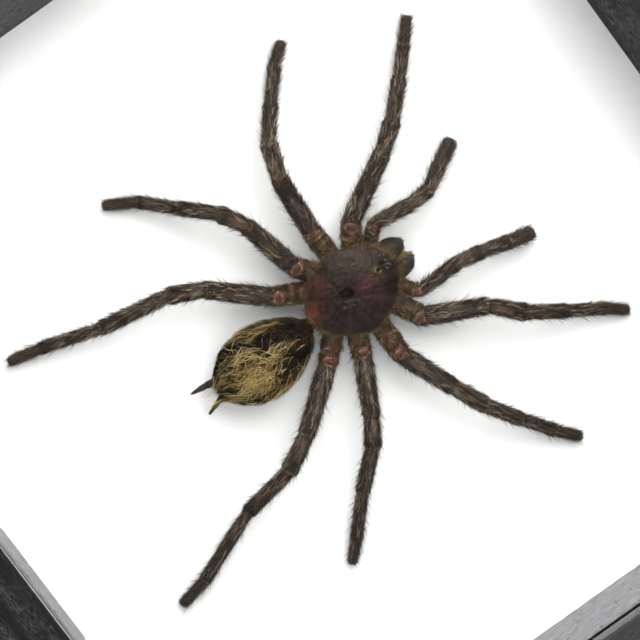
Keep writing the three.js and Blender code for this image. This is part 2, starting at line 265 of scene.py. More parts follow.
# The last number greys each rail: partly dye that it refused, partly a painted sheen that is stronger on
# the rails that would catch more of the key lamp's shine.
rail("rail_top", OPENING[0], 0, OPENING[1], 0.12)
rail("rail_bottom", OPENING[0], math.pi, OPENING[1], 0.0)
rail("rail_left", OPENING[1], math.pi / 2, OPENING[0], 0.5)
rail("rail_right", OPENING[1], -math.pi / 2, OPENING[0], 0.36)


# ---- Glass pane ---------------------------------------------------------------------
# A single pane of picture glass, cut from 2.5 mm soda-lime float and laid in the rabbet.
# It is nearly colourless face on and green through the thickness.

def picture_glass():
    """Float glass, mirror smooth: it can hardly be seen but for what it mirrors. Lamp light
    goes through it without bending, as it nearly does in so thin a pane."""
    made, tree, place = finish(
        "float_glass_cut_pane", Transmission_Weight=1.0, IOR=1.52, Roughness=0.0,
    )
    draw = add(tree, "TexNoise", {"Vector": place, "Scale": 1 / (60 * MM), "Detail": 1.0})
    tint = add(tree, "Mix", {
        MIX_FACTOR: draw.outputs[0], MIX_A: linear("f9faf9"), MIX_B: linear("fcfcfc"),
    }, data_type="RGBA")
    surface = tree.nodes["Principled BSDF"]
    tree.links.new(tint.outputs[MIX_RESULT], surface.inputs["Base Color"])
    clear = add(tree, "BsdfTransparent", {"Color": linear("fcfcfc")})
    ray = add(tree, "LightPath")
    pane = add(tree, "MixShader", {
        0: ray.outputs["Is Shadow Ray"], 1: surface.outputs[0], 2: clear.outputs[0],
    })
    tree.links.new(pane.outputs[0], tree.nodes["Material Output"].inputs["Surface"])
    return made


def soft_block(low, high, edge):
    """Points and faces of a sheet whose corners and edges are eased by edge millimetres."""
    low, high = np.array(low, float), np.array(high, float)
    outline = []
    for corner_x, corner_y, start in ((1, 1, 0), (0, 1, 90), (0, 0, 180), (1, 0, 270)):
        centre = np.where([corner_x, corner_y], high[:2] - edge, low[:2] + edge)
        for step in range(4):
            turn = math.radians(start + 30 * step)
            outline.append(centre + edge * np.array([math.cos(turn), math.sin(turn)]))
    outline = np.array(outline)
    middle = (low[:2] + high[:2]) / 2
    levels = (
        (low[2], edge), (low[2] + 0.3 * edge, 0.3 * edge), (low[2] + edge, 0),
        (high[2] - edge, 0), (high[2] - 0.3 * edge, 0.3 * edge), (high[2], edge),
    )
    rings = []
    for height, inset in levels:
        shrink = 1 - inset / np.abs(outline - middle).max(axis=0)
        ring = middle + (outline - middle) * shrink
        rings.append(np.column_stack([ring, np.full(len(ring), height)]))
    return np.concatenate(rings), tube_faces(len(levels), len(outline))


def sheet(name, node, edge, material):
    """A flat sheet in place of its CAD node, with eased edges. Returns its top's height."""
    low, high = (np.array(corner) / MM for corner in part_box(node))
    points, faces = soft_block(low, high, edge)
    piece(name, points, faces, material, [node], smooth=False)
    return high[2]


sheet("glass_pane_float", "glass_pane", 0.25, picture_glass())


# ---- Spacer strips ------------------------------------------------------------------
# Four strips of sawn softwood, brushed with one thin coat of grey primer and pushed against
# the rabbet. The edge that the lip covers is painted near-black: painted shade for the
# shadowed gap under the lip, which shows as a dark line there.

rng = np.random.default_rng(27)


def brushed_primer():
    """Thin primer, brushed along sawn wood: matt grey, with streaks and dark spots where the
    wood shows through. Real bristle marks are 0.1 mm wide; they are drawn at 0.3 mm, to show."""
    made, tree, place = finish("grey_primer_brushed_on_sawn_wood", IOR=1.5)
    streak_length, streak_width = 3 * MM, 0.3 * MM
    streak_at = add(tree, "Mapping", {
        "Vector": place, "Scale": (1 / streak_length, 1 / streak_width, 1 / streak_width),
    })
    streaks = add(tree, "TexNoise", {
        "Vector": streak_at.outputs[0], "Scale": 1.0, "Detail": 4.0, "Roughness": 0.6,
    }).outputs[0]
    cloud = add(tree, "TexNoise", {
        "Vector": place, "Scale": 1 / (1.6 * MM), "Detail": 4.0, "Roughness": 0.6,
    }).outputs[0]
    marks = add(tree, "MapRange", {"Value": streaks, "From Min": 0.36, "From Max": 0.62})
    base = add(tree, "Mix", {
        MIX_FACTOR: marks.outputs[0], MIX_A: linear("626163"), MIX_B: linear("878688"),
    }, data_type="RGBA")
    thin = add(tree, "MapRange", {
        "Value": cloud, "From Min": 0.6, "From Max": 0.68, "To Max": 0.75,
    })
    patchy = add(tree, "Mix", {
        MIX_FACTOR: thin.outputs[0], MIX_A: base.outputs[MIX_RESULT], MIX_B: linear("3c3b3d"),
    }, data_type="RGBA")
    return dress(made, patchy.outputs[MIX_RESULT], cloud, (0.55, 0.8), streaks, 0.15, 0.6)


primer = brushed_primer()

# Painted shade: a matt near-black, nearly without a highlight, on the edge under the lip
shaded_gap_edge = mottled(
    "black_painted_shade_sawn_edge", "030304", "0b0a0d", 0.8, (0.8, 0.95), detail=3.0,
    IOR=1.4, Specular_IOR_Level=0.1,
)


def spacer_strip(name, turn, proud):
    """One strip in its own axes: X along, Y out from the opening, standing proud mm inside the
    lip. Its edges are sampled every millimetre, so that they can be nicked."""
    low, high = (np.array(corner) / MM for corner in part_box(name))
    size = high - low
    thick, length, top = min(size[:2]), max(size[:2]), size[2]
    out = OPENING[1] if size[0] > size[1] else OPENING[0]
    ease, deepest_nick = 0.3, 0.3
    section = [
        (-proud, 0.35), (0.35 - proud, 0), (thick - ease, 0), (thick, ease), (thick, top - ease),
        (thick - ease, top), (0.45 - 0.5 * proud, top), (ease - proud, top), (-proud, top - ease),
    ]
    count, steps = len(section), int(length)
    nick = rng.random((steps + 1, 2)) ** 18 * deepest_nick
    points = []
    for step in range(steps + 1):
        along = -length / 2 + length * step / steps
        worn = {0: nick[step, 0], count - 1: nick[step, 1]}
        for j, (deep, height) in enumerate(section):
            points.append((along, deep + worn.get(j, 0), low[2] + height))
    faces = tube_faces(steps + 1, count, turned=True)
    made = piece(name + "_primed", points, faces, primer, [name])
    # The top face under the lip takes the near-black painted shade
    coat_side(made, shaded_gap_edge, 5, count)
    lay_length(made, turn, out, 30)


spacer_strip("spacer_top", 0, 0.0)
spacer_strip("spacer_bottom", math.pi, 0.7)
spacer_strip("spacer_left", math.pi / 2, 0.0)
spacer_strip("spacer_right", -math.pi / 2, 0.7)


# ---- Mount board --------------------------------------------------------------------
# A sheet of 3 mm white-cored card with a smooth bright white facing paper. Its cut edges
# are hidden in the rabbet.

def white_facing():
    """Smooth facing paper: bright, matt and a little cloudy. Paper fibres are 0.02 mm wide;
    they are drawn at 0.5 mm, to show."""
    made, tree, place = finish("white_card_paper_faced", IOR=1.45)
    fibre = add(tree, "TexNoise", {"Vector": place, "Scale": 1 / (0.5 * MM), "Detail": 4.0})
    cloud = add(tree, "TexNoise", {"Vector": place, "Scale": 1 / (30 * MM), "Detail": 2.0})
    tone = add(tree, "Mix", {
        MIX_FACTOR: cloud.outputs[0], MIX_A: linear("efefee"), MIX_B: linear("f7f7f6"),
    }, data_type="RGBA")
    return dress(
        made, tone.outputs[MIX_RESULT], fibre.outputs[0], (0.75, 0.92), fibre.outputs[0], 0.02, 0.5)


# The height that the specimen lies on
BOARD = sheet("mount_board_card", "mount_board", 0.15, white_facing())


# ---- Glue dabs ----------------------------------------------------------------------
# Two dabs of clear hot-melt glue, squeezed flat between the board and the spider's body, so
# that their rims bulge.

# Set hot-melt glue: a hazy, yellowish, glossy blob
set_glue = mottled(
    "hot_melt_glue_set", "d8cfa8", "efe9d2", 1.5, (0.12, 0.3), detail=3.0,
    Transmission_Weight=0.6, IOR=1.48,
)


def glue_dab(name):
    """One dab in place of its CAD node, widest a third of the way up and ragged in plan."""
    low, high = (np.array(corner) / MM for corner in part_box(name))
    middle, radius, height = (low + high) / 2, (high[0] - low[0]) / 2, high[2] - low[2]
    sides = 40
    turn = np.linspace(0, 2 * np.pi, sides, endpoint=False)
    slow, quick = 0.06, 0.04
    ragged = 1 + slow * np.sin(3 * turn + 1) + quick * np.sin(7 * turn)
    bulge = ((0, 0.9), (0.12, 0.98), (0.35, 1.0), (0.65, 0.93), (0.88, 0.82), (1, 0.7))
    rings = []
    for share, width in bulge:
        reach = radius * width * ragged / (1 + slow + quick)
        x, y = middle[0] + reach * np.cos(turn), middle[1] + reach * np.sin(turn)
        rings.append(np.column_stack([x, y, np.full(sides, low[2] + height * share)]))
    faces = tube_faces(len(rings), sides)
    piece(name + "_set", np.concatenate(rings), faces, set_glue, [name])


glue_dab("glue_dab_front")
glue_dab("glue_dab_rear")


# ---- Legs and pedipalps -------------------------------------------------------------
# Dried tarantula limbs, held up by the glued body: tubes of dark cuticle, shrunken between
# the joints, rusty and nearly bare at the hips. Setae lie along them, stuck here and there
# into pale locks, and stand out at each segment's far end.

BODY = np.array([1.6, 8.0])  # the carapace's middle

# Where each limb leaves the breastplate, to the right of and ahead of its middle
ROOTS = {"palp": (3.5, 8.5), 1: (6.0, 5.5), 2: (6.8, 1.2), 3: (6.3, -3.0), 4: (4.6, -6.8)}

# In plan: the hip joint, then length and heading of femur, patella, tibia, metatarsus and
# tarsus, in millimetres and degrees from +X. Last, how rusty the hip is.
LEGS = {
    "leg_left_1": (1, (-12.2, 18.1), ((20.1, 124), (7.9, 127), (9.7, 131), (8.3, 134), (7.0, 137)), 0.25),
    "leg_left_2": (2, (-16.3, 9.1), ((17.0, 175), (9.6, 161), (8.5, 137), (8.9, 136), (6.3, 127)), 0.3),
    "leg_left_3": (3, (-11.7, 0.3), ((16.8, 190), (7.5, 209), (9.3, 232), (10.1, 229), (8.4, 242)), 0.8),
    "leg_left_4": (4, (-8.0, -7.8), ((18.3, 223), (8.8, 244), (18.6, 264), (15.5, 256), (8.6, 260)), 0.9),
    "leg_right_1": (1, (18.4, 18.6), ((16.3, 67), (9.9, 41), (10.9, 48), (10.1, 51), (6.5, 45)), 0.3),
    "leg_right_2": (2, (23.1, 8.9), ((14.8, 23), (9.7, 22), (10.7, 26), (10.6, 30), (7.4, 36)), 1.0),
    "leg_right_3": (3, (17.4, 1.2), ((14.8, 332), (8.1, 328), (13.0, 317), (13.6, 321), (7.0, 317)), 0.7),
    "leg_right_4": (4, (13.9, -6.7), ((18.4, 306), (10.2, 301), (15.0, 285), (21.2, 296), (8.6, 285)), 0.7),
}
LEG_HEIGHTS = (6.5, 7.5, 11.5, 10.8, 6.6, 3.1, 1.9)
# Half width at the root and the end of coxa, trochanter, femur, patella, tibia, metatarsus
# and tarsus
LEG_GIRTHS = (
    (2.3, 2.5), (2.45, 2.2), (2.4, 1.8), (1.8, 1.85), (1.65, 1.5), (1.37, 1.2), (1.18, 1.05),
)

# Pedipalps have no metatarsus
PALPS = {
    "pedipalp_left": ("palp", (-8.4, 22.2), ((10.5, 87), (5.8, 90), (5.8, 115), (7.0, 113)), 0.4),
    "pedipalp_right": ("palp", (12.7, 21.6), ((12.0, 96), (6.8, 76), (7.3, 64), (6.8, 67)), 0.9),
}
PALP_HEIGHTS = (6.5, 7.5, 10.0, 9.2, 5.8, 2.8)
PALP_GIRTHS = ((1.5, 1.6), (1.6, 1.55), (1.6, 1.4), (1.5, 1.55), (1.45, 1.5), (1.6, 1.65))
TROCHANTER = 3.0  # length of the short ring before each femur


def joints_of(root, hip, run, heights):
    """The corners of a limb's centre line above the board, from breastplate to tip."""
    across, ahead = ROOTS[root]
    side = -1 if hip[0] < BODY[0] else 1
    corners = [BODY + (side * across, ahead), np.array(hip)]
    for length, heading in run:
        turn = math.radians(heading)
        corners.append(corners[-1] + length * np.array([math.cos(turn), math.sin(turn)]))
    corners = np.column_stack([corners, np.array(heights) + BOARD])
    back = corners[0] - corners[1]
    ring = corners[1] + back * TROCHANTER / np.linalg.norm(back)
    return np.insert(corners, 1, ring, axis=0)


class Limb:
    """A limb's centre line and oval section, sampled along its length in millimetres.

    skin(along, around) gives points and outward normals. around is in millimetres on the
    mean girth and starts from the left side, looking toward the tip."""

    STEP = 0.35

    def __init__(self, corners, outline, ease=3):
        spans = np.linalg.norm(np.diff(corners, axis=0), axis=1)
        self.joints = np.concatenate([[0], np.cumsum(spans)])
        self.length = self.joints[-1]
        self.at = np.arange(0, self.length + self.STEP / 2, self.STEP)
        line = np.column_stack([np.interp(self.at, self.joints, corners[:, k]) for k in range(3)])
        weights = np.hanning(2 * ease + 3)[1:-1]
        padded = np.pad(line, ((ease, ease), (0, 0)), mode="reflect", reflect_type="odd")
        eased = [np.convolve(padded[:, k], weights / weights.sum(), "valid") for k in range(3)]
        self.line = np.column_stack(eased)
        along = np.gradient(self.line, axis=0)
        self.along = along / np.linalg.norm(along, axis=1, keepdims=True)
        across = np.cross((0, 0, 1), self.along)
        self.across = across / np.linalg.norm(across, axis=1, keepdims=True)
        self.over = np.cross(self.along, self.across)
        self.wide, self.high = outline(self.at, self.joints)
        self.girth = float(self.wide.mean())
        self.around = 2 * np.pi * self.girth

    def _pick(self, values, along):
        low = np.clip((along / self.STEP).astype(int), 0, len(self.at) - 2)
        share = np.clip(along / self.STEP - low, 0, 1)
        if values.ndim == 2:
            share = share[:, None]
        return values[low] * (1 - share) + values[low + 1] * share

    def skin(self, along, around):
        turn = around / self.girth
        wide, high = self._pick(self.wide, along), self._pick(self.high, along)
        across, over, ahead = (self._pick(v, along) for v in (self.across, self.over, self.along))
        cos, sin = np.cos(turn)[:, None], np.sin(turn)[:, None]
        beyond = np.clip(along - self.length, 0, None)[:, None]
        point = self._pick(self.line, along) + ahead * beyond
        point = point + across * cos * wide[:, None] + over * sin * high[:, None]
        normal = across * cos / wide[:, None] + over * sin / high[:, None]
        return point, normal / np.linalg.norm(normal, axis=1, keepdims=True)

    def rings(self, sides, relief):
        """Closed skin points and faces. relief(along, turn) moves the skin out, in millimetres."""
        turn = np.linspace(0, 2 * np.pi, sides, endpoint=False)
        along, turns = (grid.ravel() for grid in np.meshgrid(self.at, turn, indexing="ij"))
        point, normal = self.skin(along, turns * self.girth)
        point = point + normal * relief(along, turns)[:, None]
        return point, tube_faces(len(self.at), sides), along, turns


def segmented(girths, tip):
    """Half widths along a limb: each segment is narrow at its root, swells, and ends in a
    collar that stands over the root of the next one. The last is rounded over tip mm."""
    shape_at = (0.0, 0.05, 0.14, 0.35, 0.65, 0.86, 0.95, 0.985, 1.0)
    shape = (0.76, 0.84, 0.93, 0.99, 1.0, 1.04, 1.07, 1.05, 0.78)

    def outline(at, joints):
        segment = np.clip(np.searchsorted(joints, at, side="right") - 1, 0, len(girths) - 1)
        start, stop = joints[segment], joints[segment + 1]
        share = np.clip((at - start) / (stop - start), 0, 1)
        root, end = np.array(girths)[segment].T
        wide = (root + (end - root) * share) * np.interp(share, shape_at, shape)
        rounding = np.clip((joints[-1] - at) / tip, 0, 1)
        wide = wide * (0.3 + 0.7 * np.sqrt(1 - (1 - rounding) ** 2))
        return wide, wide * 1.03
    return outline


def creases(seed, depth):
    """Shallow lengthwise wrinkles and dents that drying leaves, as a smooth random relief."""
    waves = np.random.default_rng(seed)
    around = waves.integers(2, 6, 9)
    along = waves.normal(0, 0.55, 9)
    phase = waves.random(9) * 2 * np.pi

    def relief(at, turn):
        total = sum(np.sin(n * turn + k * at + p) for n, k, p in zip(around, along, phase))
        return depth * total / 3
    return relief


# Cuticle: brown-black chitin, creased and dull. Down the bare bands on top of the segments
# it is grey: partly a waxy film, partly a painted sheen where the top catches the light. It
# has pink-brown membrane at the joints and over the hips, and rusty hips. Its pits are
# 0.05 mm wide; they are drawn at 0.3 mm, to show.

def cuticle(name, dark, light, membrane, rust, bloom="4c443e", gloss=(0.4, 0.7), shine=0.3):
    made, tree, place = finish(name, IOR=1.45, Specular_IOR_Level=shine)
    mottle = add(tree, "TexNoise", {
        "Vector": place, "Scale": 1 / (1.3 * MM), "Detail": 5.0, "Roughness": 0.7,
    })
    pits = add(tree, "TexNoise", {"Vector": place, "Scale": 1 / (0.3 * MM), "Detail": 3.0})
    lift = add(tree, "MapRange", {"Value": mottle.outputs[0], "From Min": 0.38, "From Max": 0.64})
    colour = add(tree, "Mix", {
        MIX_FACTOR: lift.outputs[0], MIX_A: linear(dark), MIX_B: linear(light),
    }, data_type="RGBA").outputs[MIX_RESULT]
    for mask, shade, least in (("bloom", bloom, 0.5), ("rust", rust, 0.05), ("membrane", membrane, 0.6)):
        share = add(tree, "Attribute", attribute_name=mask)
        worn = add(tree, "MapRange", {
            "Value": mottle.outputs[0], "From Min": 0.4, "From Max": 0.6, "To Min": least,
        })
        broken = add(tree, "Math", {0: share.outputs["Fac"], 1: worn.outputs[0]}, operation="MULTIPLY")
        colour = add(tree, "Mix", {
            MIX_FACTOR: broken.outputs[0], MIX_A: colour, MIX_B: linear(shade),
        }, data_type="RGBA").outputs[MIX_RESULT]
    return dress(made, colour, mottle.outputs[0], gloss, pits.outputs[0], 0.1, 0.7)


# Setae: solid bristles of the same chitin, dark to pale, golden on the hips. Each is a
# closed three-sided spike two to four times wider than one real seta, because dried setae
# stick together in twos and threes.

def bristle(name, dark, middle, pale, golden):
    made, tree, place = finish(name, IOR=1.45, Specular_IOR_Level=0.3)
    shade = add(tree, "Attribute", attribute_name="shade").outputs["Fac"]
    dust = add(tree, "TexNoise", {"Vector": place, "Scale": 1 / (0.9 * MM), "Detail": 2.0})
    low = add(tree, "MapRange", {"Value": shade, "From Min": 0.0, "From Max": 0.5})
    high = add(tree, "MapRange", {"Value": shade, "From Min": 0.5, "From Max": 1.0})
    brown = add(tree, "Mix", {
        MIX_FACTOR: low.outputs[0], MIX_A: linear(dark), MIX_B: linear(middle),
    }, data_type="RGBA")
    light = add(tree, "Mix", {
        MIX_FACTOR: high.outputs[0], MIX_A: brown.outputs[MIX_RESULT], MIX_B: linear(pale),
    }, data_type="RGBA")
    warm = add(tree, "Attribute", attribute_name="warm").outputs["Fac"]
    gilt = add(tree, "Mix", {
        MIX_FACTOR: warm, MIX_A: light.outputs[MIX_RESULT], MIX_B: linear(golden),
    }, data_type="RGBA")
    return dress(made, gilt.outputs[MIX_RESULT], dust.outputs[0], (0.4, 0.65))


def spread(low, high, count):
    return low + (high - low) * rng.random(count)


def strands(skin, along, around, heading, length, lift, width, shade, warm=0.0, rings=1,
            curl=0.0, cling=1.0):
    """Bristles that follow a skin: each starts at (along, around), runs at heading from the
    way the limb grows, sways by curl and rises to lift at its tip. Returns their points
    and skin normals in rings, and each one's width, shade and warmth."""
    count = len(along)
    phase = rng.random(count) * 2 * np.pi
    waves = 0.6 + rng.random(count)
    a, b = along.copy(), around.copy()
    sink = -0.06  # the roots are set into the skin
    paths, normals = [], []
    for ring in range(rings + 1):
        share = ring / rings
        point, normal = skin(a, b)
        paths.append(point + normal * (sink + (lift - sink) * share ** cling)[:, None])
        normals.append(normal)
        turn = heading + curl * np.sin(2 * np.pi * waves * share + phase)
        a = a + np.cos(turn) * length / rings
        b = b + np.sin(turn) * length / rings
    return np.stack(paths, 1), np.stack(normals, 1), width, shade, warm + np.zeros(count)


def bristle_piece(name, groups, material):
    """One piece of closed tapered spikes, from groups that strands() returns."""
    points, triangles, shades, warmth, total = [], [], [], [], 0
    for paths, normals, widths, tones, warm in groups:
        count, rings = paths.shape[0], paths.shape[1] - 1
        ahead = np.gradient(paths, axis=1)
        ahead /= np.linalg.norm(ahead, axis=2, keepdims=True) + 1e-9
        side = np.cross(ahead, normals)
        side /= np.linalg.norm(side, axis=2, keepdims=True) + 1e-9
        over = np.cross(side, ahead)
        taper = 1 - 0.7 * (np.arange(rings) / rings) ** 1.5
        girth = (widths[:, None] * taper / 2)[..., None]
        corners = []
        for turn in (90, 210, 330):
            cos, sin = math.cos(math.radians(turn)), math.sin(math.radians(turn))
            out = side[:, :rings] * cos + over[:, :rings] * sin
            corners.append(paths[:, :rings] + girth * out)
        body = np.stack(corners, 2).reshape(count, rings * 3, 3)
        vertices = np.concatenate([body, paths[:, rings:]], axis=1)
        each = rings * 3 + 1
        shape = [(0, 2, 1)]
        for ring in range(rings - 1):
            for j in range(3):
                a, b = ring * 3 + j, ring * 3 + (j + 1) % 3
                shape += [(a, b, b + 3), (a, b + 3, a + 3)]
        last = (rings - 1) * 3
        shape += [(last + j, last + (j + 1) % 3, each - 1) for j in range(3)]
        starts = total + np.arange(count)[:, None, None] * each
        triangles.append((np.array(shape)[None] + starts).reshape(-1, 3))
        points.append(vertices.reshape(-1, 3))
        shades.append(np.repeat(tones, each))
        warmth.append(np.repeat(warm, each))
        total += count * each
    points, triangles = np.concatenate(points) * MM, np.concatenate(triangles)
    mesh = bpy.data.meshes.new(name)
    mesh.vertices.add(len(points))
    mesh.vertices.foreach_set("co", points.astype(np.float32).ravel())
    mesh.loops.add(triangles.size)
    mesh.loops.foreach_set("vertex_index", triangles.astype(np.int32).ravel())
    mesh.polygons.add(len(triangles))
    mesh.polygons.foreach_set("loop_start", np.arange(0, triangles.size, 3, dtype=np.int32))
    mesh.polygons.foreach_set("use_smooth", np.ones(len(triangles), bool))
    mesh.materials.append(material)
    mesh.update(calc_edges=True)
    made = bpy.data.objects.new(name, mesh)
    bpy.context.scene.collection.objects.link(made)
    paint(made, shade=np.concatenate(shades), warm=np.concatenate(warmth))
    settle(made, ())


limb_cuticle = cuticle("leg_cuticle_dried", "15100d", "3d3028", "9c745e", "562a18")
limb_setae = bristle("leg_setae_chitin", "110b09", "4d3c32", "cfbe9e", "8d784c")


def bare_parts(limb, along, turn):
    """The hairless saddle over a hip and the bands down the top of the next three segments."""
    up = np.abs((turn - np.pi / 2 + np.pi) % (2 * np.pi) - np.pi)
    joints = limb.joints
    saddle = np.exp(-(((along - joints[2] + 0.5) / 1.25) ** 2 + (up / 0.8) ** 2) ** 2)
    band = 0 * along
    bands = ((2, 0.08, 0.74, 0.46), (3, 0.05, 0.6, 0.42), (4, 0.05, 0.5, 0.3))
    for segment, start, end, half in bands:
        share = (along - joints[segment]) / (joints[segment + 1] - joints[segment])
        middle, reach = (start + end) / 2, (end - start) / 2
        band = band + np.exp(-((share - middle) / reach) ** 6 - (up / half) ** 4)
    return saddle, band


UNDERCOAT = 10  # bristles on a square millimetre
FRINGE, PALE_RING = 150, 80  # bristles at the end of each segment
LOCKS, TALL = 7.0, 26.0  # on a millimetre of limb
HIP_TUFTS = 80


def coat(limb):
    """A limb's bristles: a short dark undercoat, velvet on the tarsus, a fringe and a pale ring
    at each segment's end, locks of dark and pale ones that lie along it, brown and golden
    tufts round the hip, and many that stand."""
    joints, tarsus = limb.joints, limb.joints[-2]
    short = int(UNDERCOAT * limb.length * limb.around)
    along, around = spread(0.5, limb.length - 0.3, short), spread(0, limb.around, short)
    saddle, band = bare_parts(limb, along, around / limb.girth)
    hip = 1 / (1 + np.exp(3 * (along - joints[2])))
    keep = rng.random(short) > np.maximum(saddle, 0.8 * band)
    along, around, hip, short = along[keep], around[keep], hip[keep], int(keep.sum())
    segment = np.clip(np.searchsorted(joints, along, side="right") - 1, 0, len(joints) - 2)
    share = (along - joints[segment]) / np.diff(joints)[segment]
    velvet = along > tarsus - 0.5
    length = np.where(velvet, spread(0.5, 0.9, short), spread(0.8, 1.9, short))
    lift = np.where(velvet, spread(0.25, 0.5, short), spread(0.08, 0.45, short))
    lift = lift * np.where(rng.random(short) < 0.4, 2.1, 1.0)
    tone = np.where(velvet, spread(0.1, 0.6, short), rng.random(short) ** 3 * (1.0 - 0.7 * share))
    groups = [strands(limb.skin, along, around, rng.normal(0, 0.25, short), length, lift,
                      spread(0.09, 0.14, short), tone, 0.3 * hip * rng.random(short) ** 2)]

    ends = np.repeat(joints[3:-1], FRINGE)
    count = len(ends)
    groups.append(strands(limb.skin, ends - spread(0.9, 2.4, count), spread(0, limb.around, count),
                          rng.normal(0, 0.2, count), spread(0.9, 2.0, count), spread(0.25, 0.8, count),
                          spread(0.09, 0.14, count), spread(0, 0.3, count), rings=2))
    ends = np.repeat(joints[3:-1], PALE_RING)
    pale = np.repeat(spread(0.4, 1.0, len(joints[3:-1])), PALE_RING)
    count = len(ends)
    groups.append(strands(limb.skin, ends - spread(0.4, 0.6, count), spread(0, limb.around, count),
                          rng.normal(0, 0.5, count), spread(0.4, 0.7, count), spread(0.3, 0.5, count),
                          spread(0.15, 0.22, count), pale * spread(0.8, 1.0, count)))

    locks, per_lock = int(LOCKS * limb.length), 2
    along = np.repeat(spread(joints[2] + 0.3, tarsus - 1.0, locks), per_lock)
    around = np.repeat(spread(0, limb.around, locks), per_lock)
    count = locks * per_lock
    length = np.repeat(spread(1.8, 5.2, locks), per_lock) * spread(0.8, 1.1, count)
    offset = rng.normal(0, 0.1, count)
    heading = np.repeat(rng.normal(0, 0.14, locks), per_lock) - offset / length
    band = bare_parts(limb, along, around / limb.girth)[1]
    keep = rng.random(count) > 0.5 * band
    pale_lock = rng.random(locks) < 0.45
    shade = np.where(pale_lock, spread(0.6, 1.0, locks), spread(0.0, 0.4, locks))
    shade = np.repeat(shade, per_lock)
    groups.append(strands(limb.skin, *(v[keep] for v in (
        along + rng.normal(0, 0.3, count), around + offset, heading, length,
        spread(0.3, 0.65, count), spread(0.08, 0.13, count), shade)), rings=4, curl=0.28))

    per_tuft = 4
    count = HIP_TUFTS * per_tuft
    along, around, heading, shade, warm = (np.repeat(value, per_tuft) for value in (
        spread(0.3, joints[2] + 0.6, HIP_TUFTS), spread(0, limb.around, HIP_TUFTS),
        rng.normal(0, 0.8, HIP_TUFTS), rng.random(HIP_TUFTS) ** 1.6 * 0.8, rng.random(HIP_TUFTS)))
    offset = rng.normal(0, 0.15, count)
    keep = bare_parts(limb, along, around / limb.girth)[0] < 0.2
    groups.append(strands(limb.skin, *(v[keep] for v in (
        along, around + offset, heading - offset / 1.5, spread(1.0, 2.4, count),
        spread(0.3, 1.1, count), spread(0.09, 0.14, count), shade, warm)), rings=3, curl=0.5))

    tall = int(TALL * limb.length)
    length = spread(0.9, 3.3, tall)
    groups.append(strands(limb.skin, spread(joints[1], limb.length - 1.0, tall),
                          spread(0, limb.around, tall), rng.normal(0, 0.35, tall), length,
                          length * spread(0.3, 0.85, tall), spread(0.1, 0.15, tall),
                          spread(0.0, 0.6, tall)))
    return groups


def grow_limb(name, spec, heights, girths, tip, ease, seed):
    """One leg or pedipalp: its creased skin, with its masks, and all its bristles."""
    root, hip, run, rust = spec
    limb = Limb(joints_of(root, hip, run, heights), segmented(girths, tip), ease)
    wrinkles = creases(seed, 0.13)

    def relief(at, turn):
        """Wrinkles that fade toward the tip, and two folds across the saddle."""
        fold = np.cos(2.6 * (at - limb.joints[2] + 0.5)) ** 2
        fade = np.clip((limb.length - at) / 4, 0.1, 1)
        return wrinkles(at, turn) * fade + 0.3 * bare_parts(limb, at, turn)[0] * fold

    points, faces, along, turns = limb.rings(24, relief)
    made = piece(name + "_skin", points, faces, limb_cuticle, [name])
    saddle, band = bare_parts(limb, along, turns)
    soft = sum(np.exp(-(((along - joint - 0.3) / 0.35) ** 2)) for joint in limb.joints[3:-1])
    seam = sum(np.exp(-(((along - joint) / 0.45) ** 2)) for joint in limb.joints[1:3])
    hips = 1 / (1 + np.exp(3 * (along - limb.joints[2] - 0.2))) * (1 - 0.9 * np.clip(seam, 0, 1))
    knee = (along > limb.joints[3]) & (along < limb.joints[4])
    rim = np.exp(-(((saddle - 0.45) / 0.24) ** 2))
    centre = np.clip((saddle - 0.65) / 0.25, 0, 1)
    # The grey down the top bands is partly a waxy film, partly a painted sheen
    paint(
        made, membrane=rim + 0.35 * soft + 0.3 * band * knee, bloom=0.9 * band,
        rust=rust * hips + 0.6 * centre,
    )
    bristle_piece(name + "_setae", coat(limb), limb_setae)


for number, (name, spec) in enumerate(LEGS.items()):
    grow_limb(name, spec, LEG_HEIGHTS, LEG_GIRTHS, tip=1.2, ease=4, seed=number)
for number, (name, spec) in enumerate(PALPS.items()):
    grow_limb(name, spec, PALP_HEIGHTS, PALP_GIRTHS, tip=2.0, ease=7, seed=20 + number)


# ---- Carapace and breastplate -------------------------------------------------------
# One domed shield of hard cuticle over the limbs' roots. It has a deep pit where the sucking
# stomach's muscles hold it, faint grooves that ray out, a mound for the eyes and the hole of
# the mounting pin. The flat breastplate closes it below.

CARAPACE_HALF_WIDTH, CARAPACE_FRONT, CARAPACE_REAR = 11.7, 14.3, 12.6
HEAD_TAPER, TAIL_TAPER = 0.3, 0.16
RIM = BOARD + 10.4
DOME = 2.9
PIT = (-1.0, -0.8)
EYE_MOUND = (-2.3, 11.5)
PIN_HOLE = (-1.6, 8.9)
GROOVES = (30, 78, 118, 155)  # degrees from straight ahead, each side
LUMPS = np.column_stack([rng.normal(0, 2.4, (16, 2)), spread(0, 6.3, 16)])  # ripples of 1 to 6 mm

# Height, middle, half width and stretch ahead of each swelling and hollow
SWELLS = (
    (0.9, (-2.0, 7.5), 4.2, 1.3), (1.7, EYE_MOUND, 1.8, 0.75),
    (-0.7, PIT, 2.2, 1.0), (-2.6, PIT, 1.0, 1.05), (-0.8, (PIT[0] - 0.8, PIT[1] + 0.7), 0.6, 1.0),
    (-1.8, PIN_HOLE, 0.45, 1.0), (0.3, PIN_HOLE, 0.8, 1.0),
)

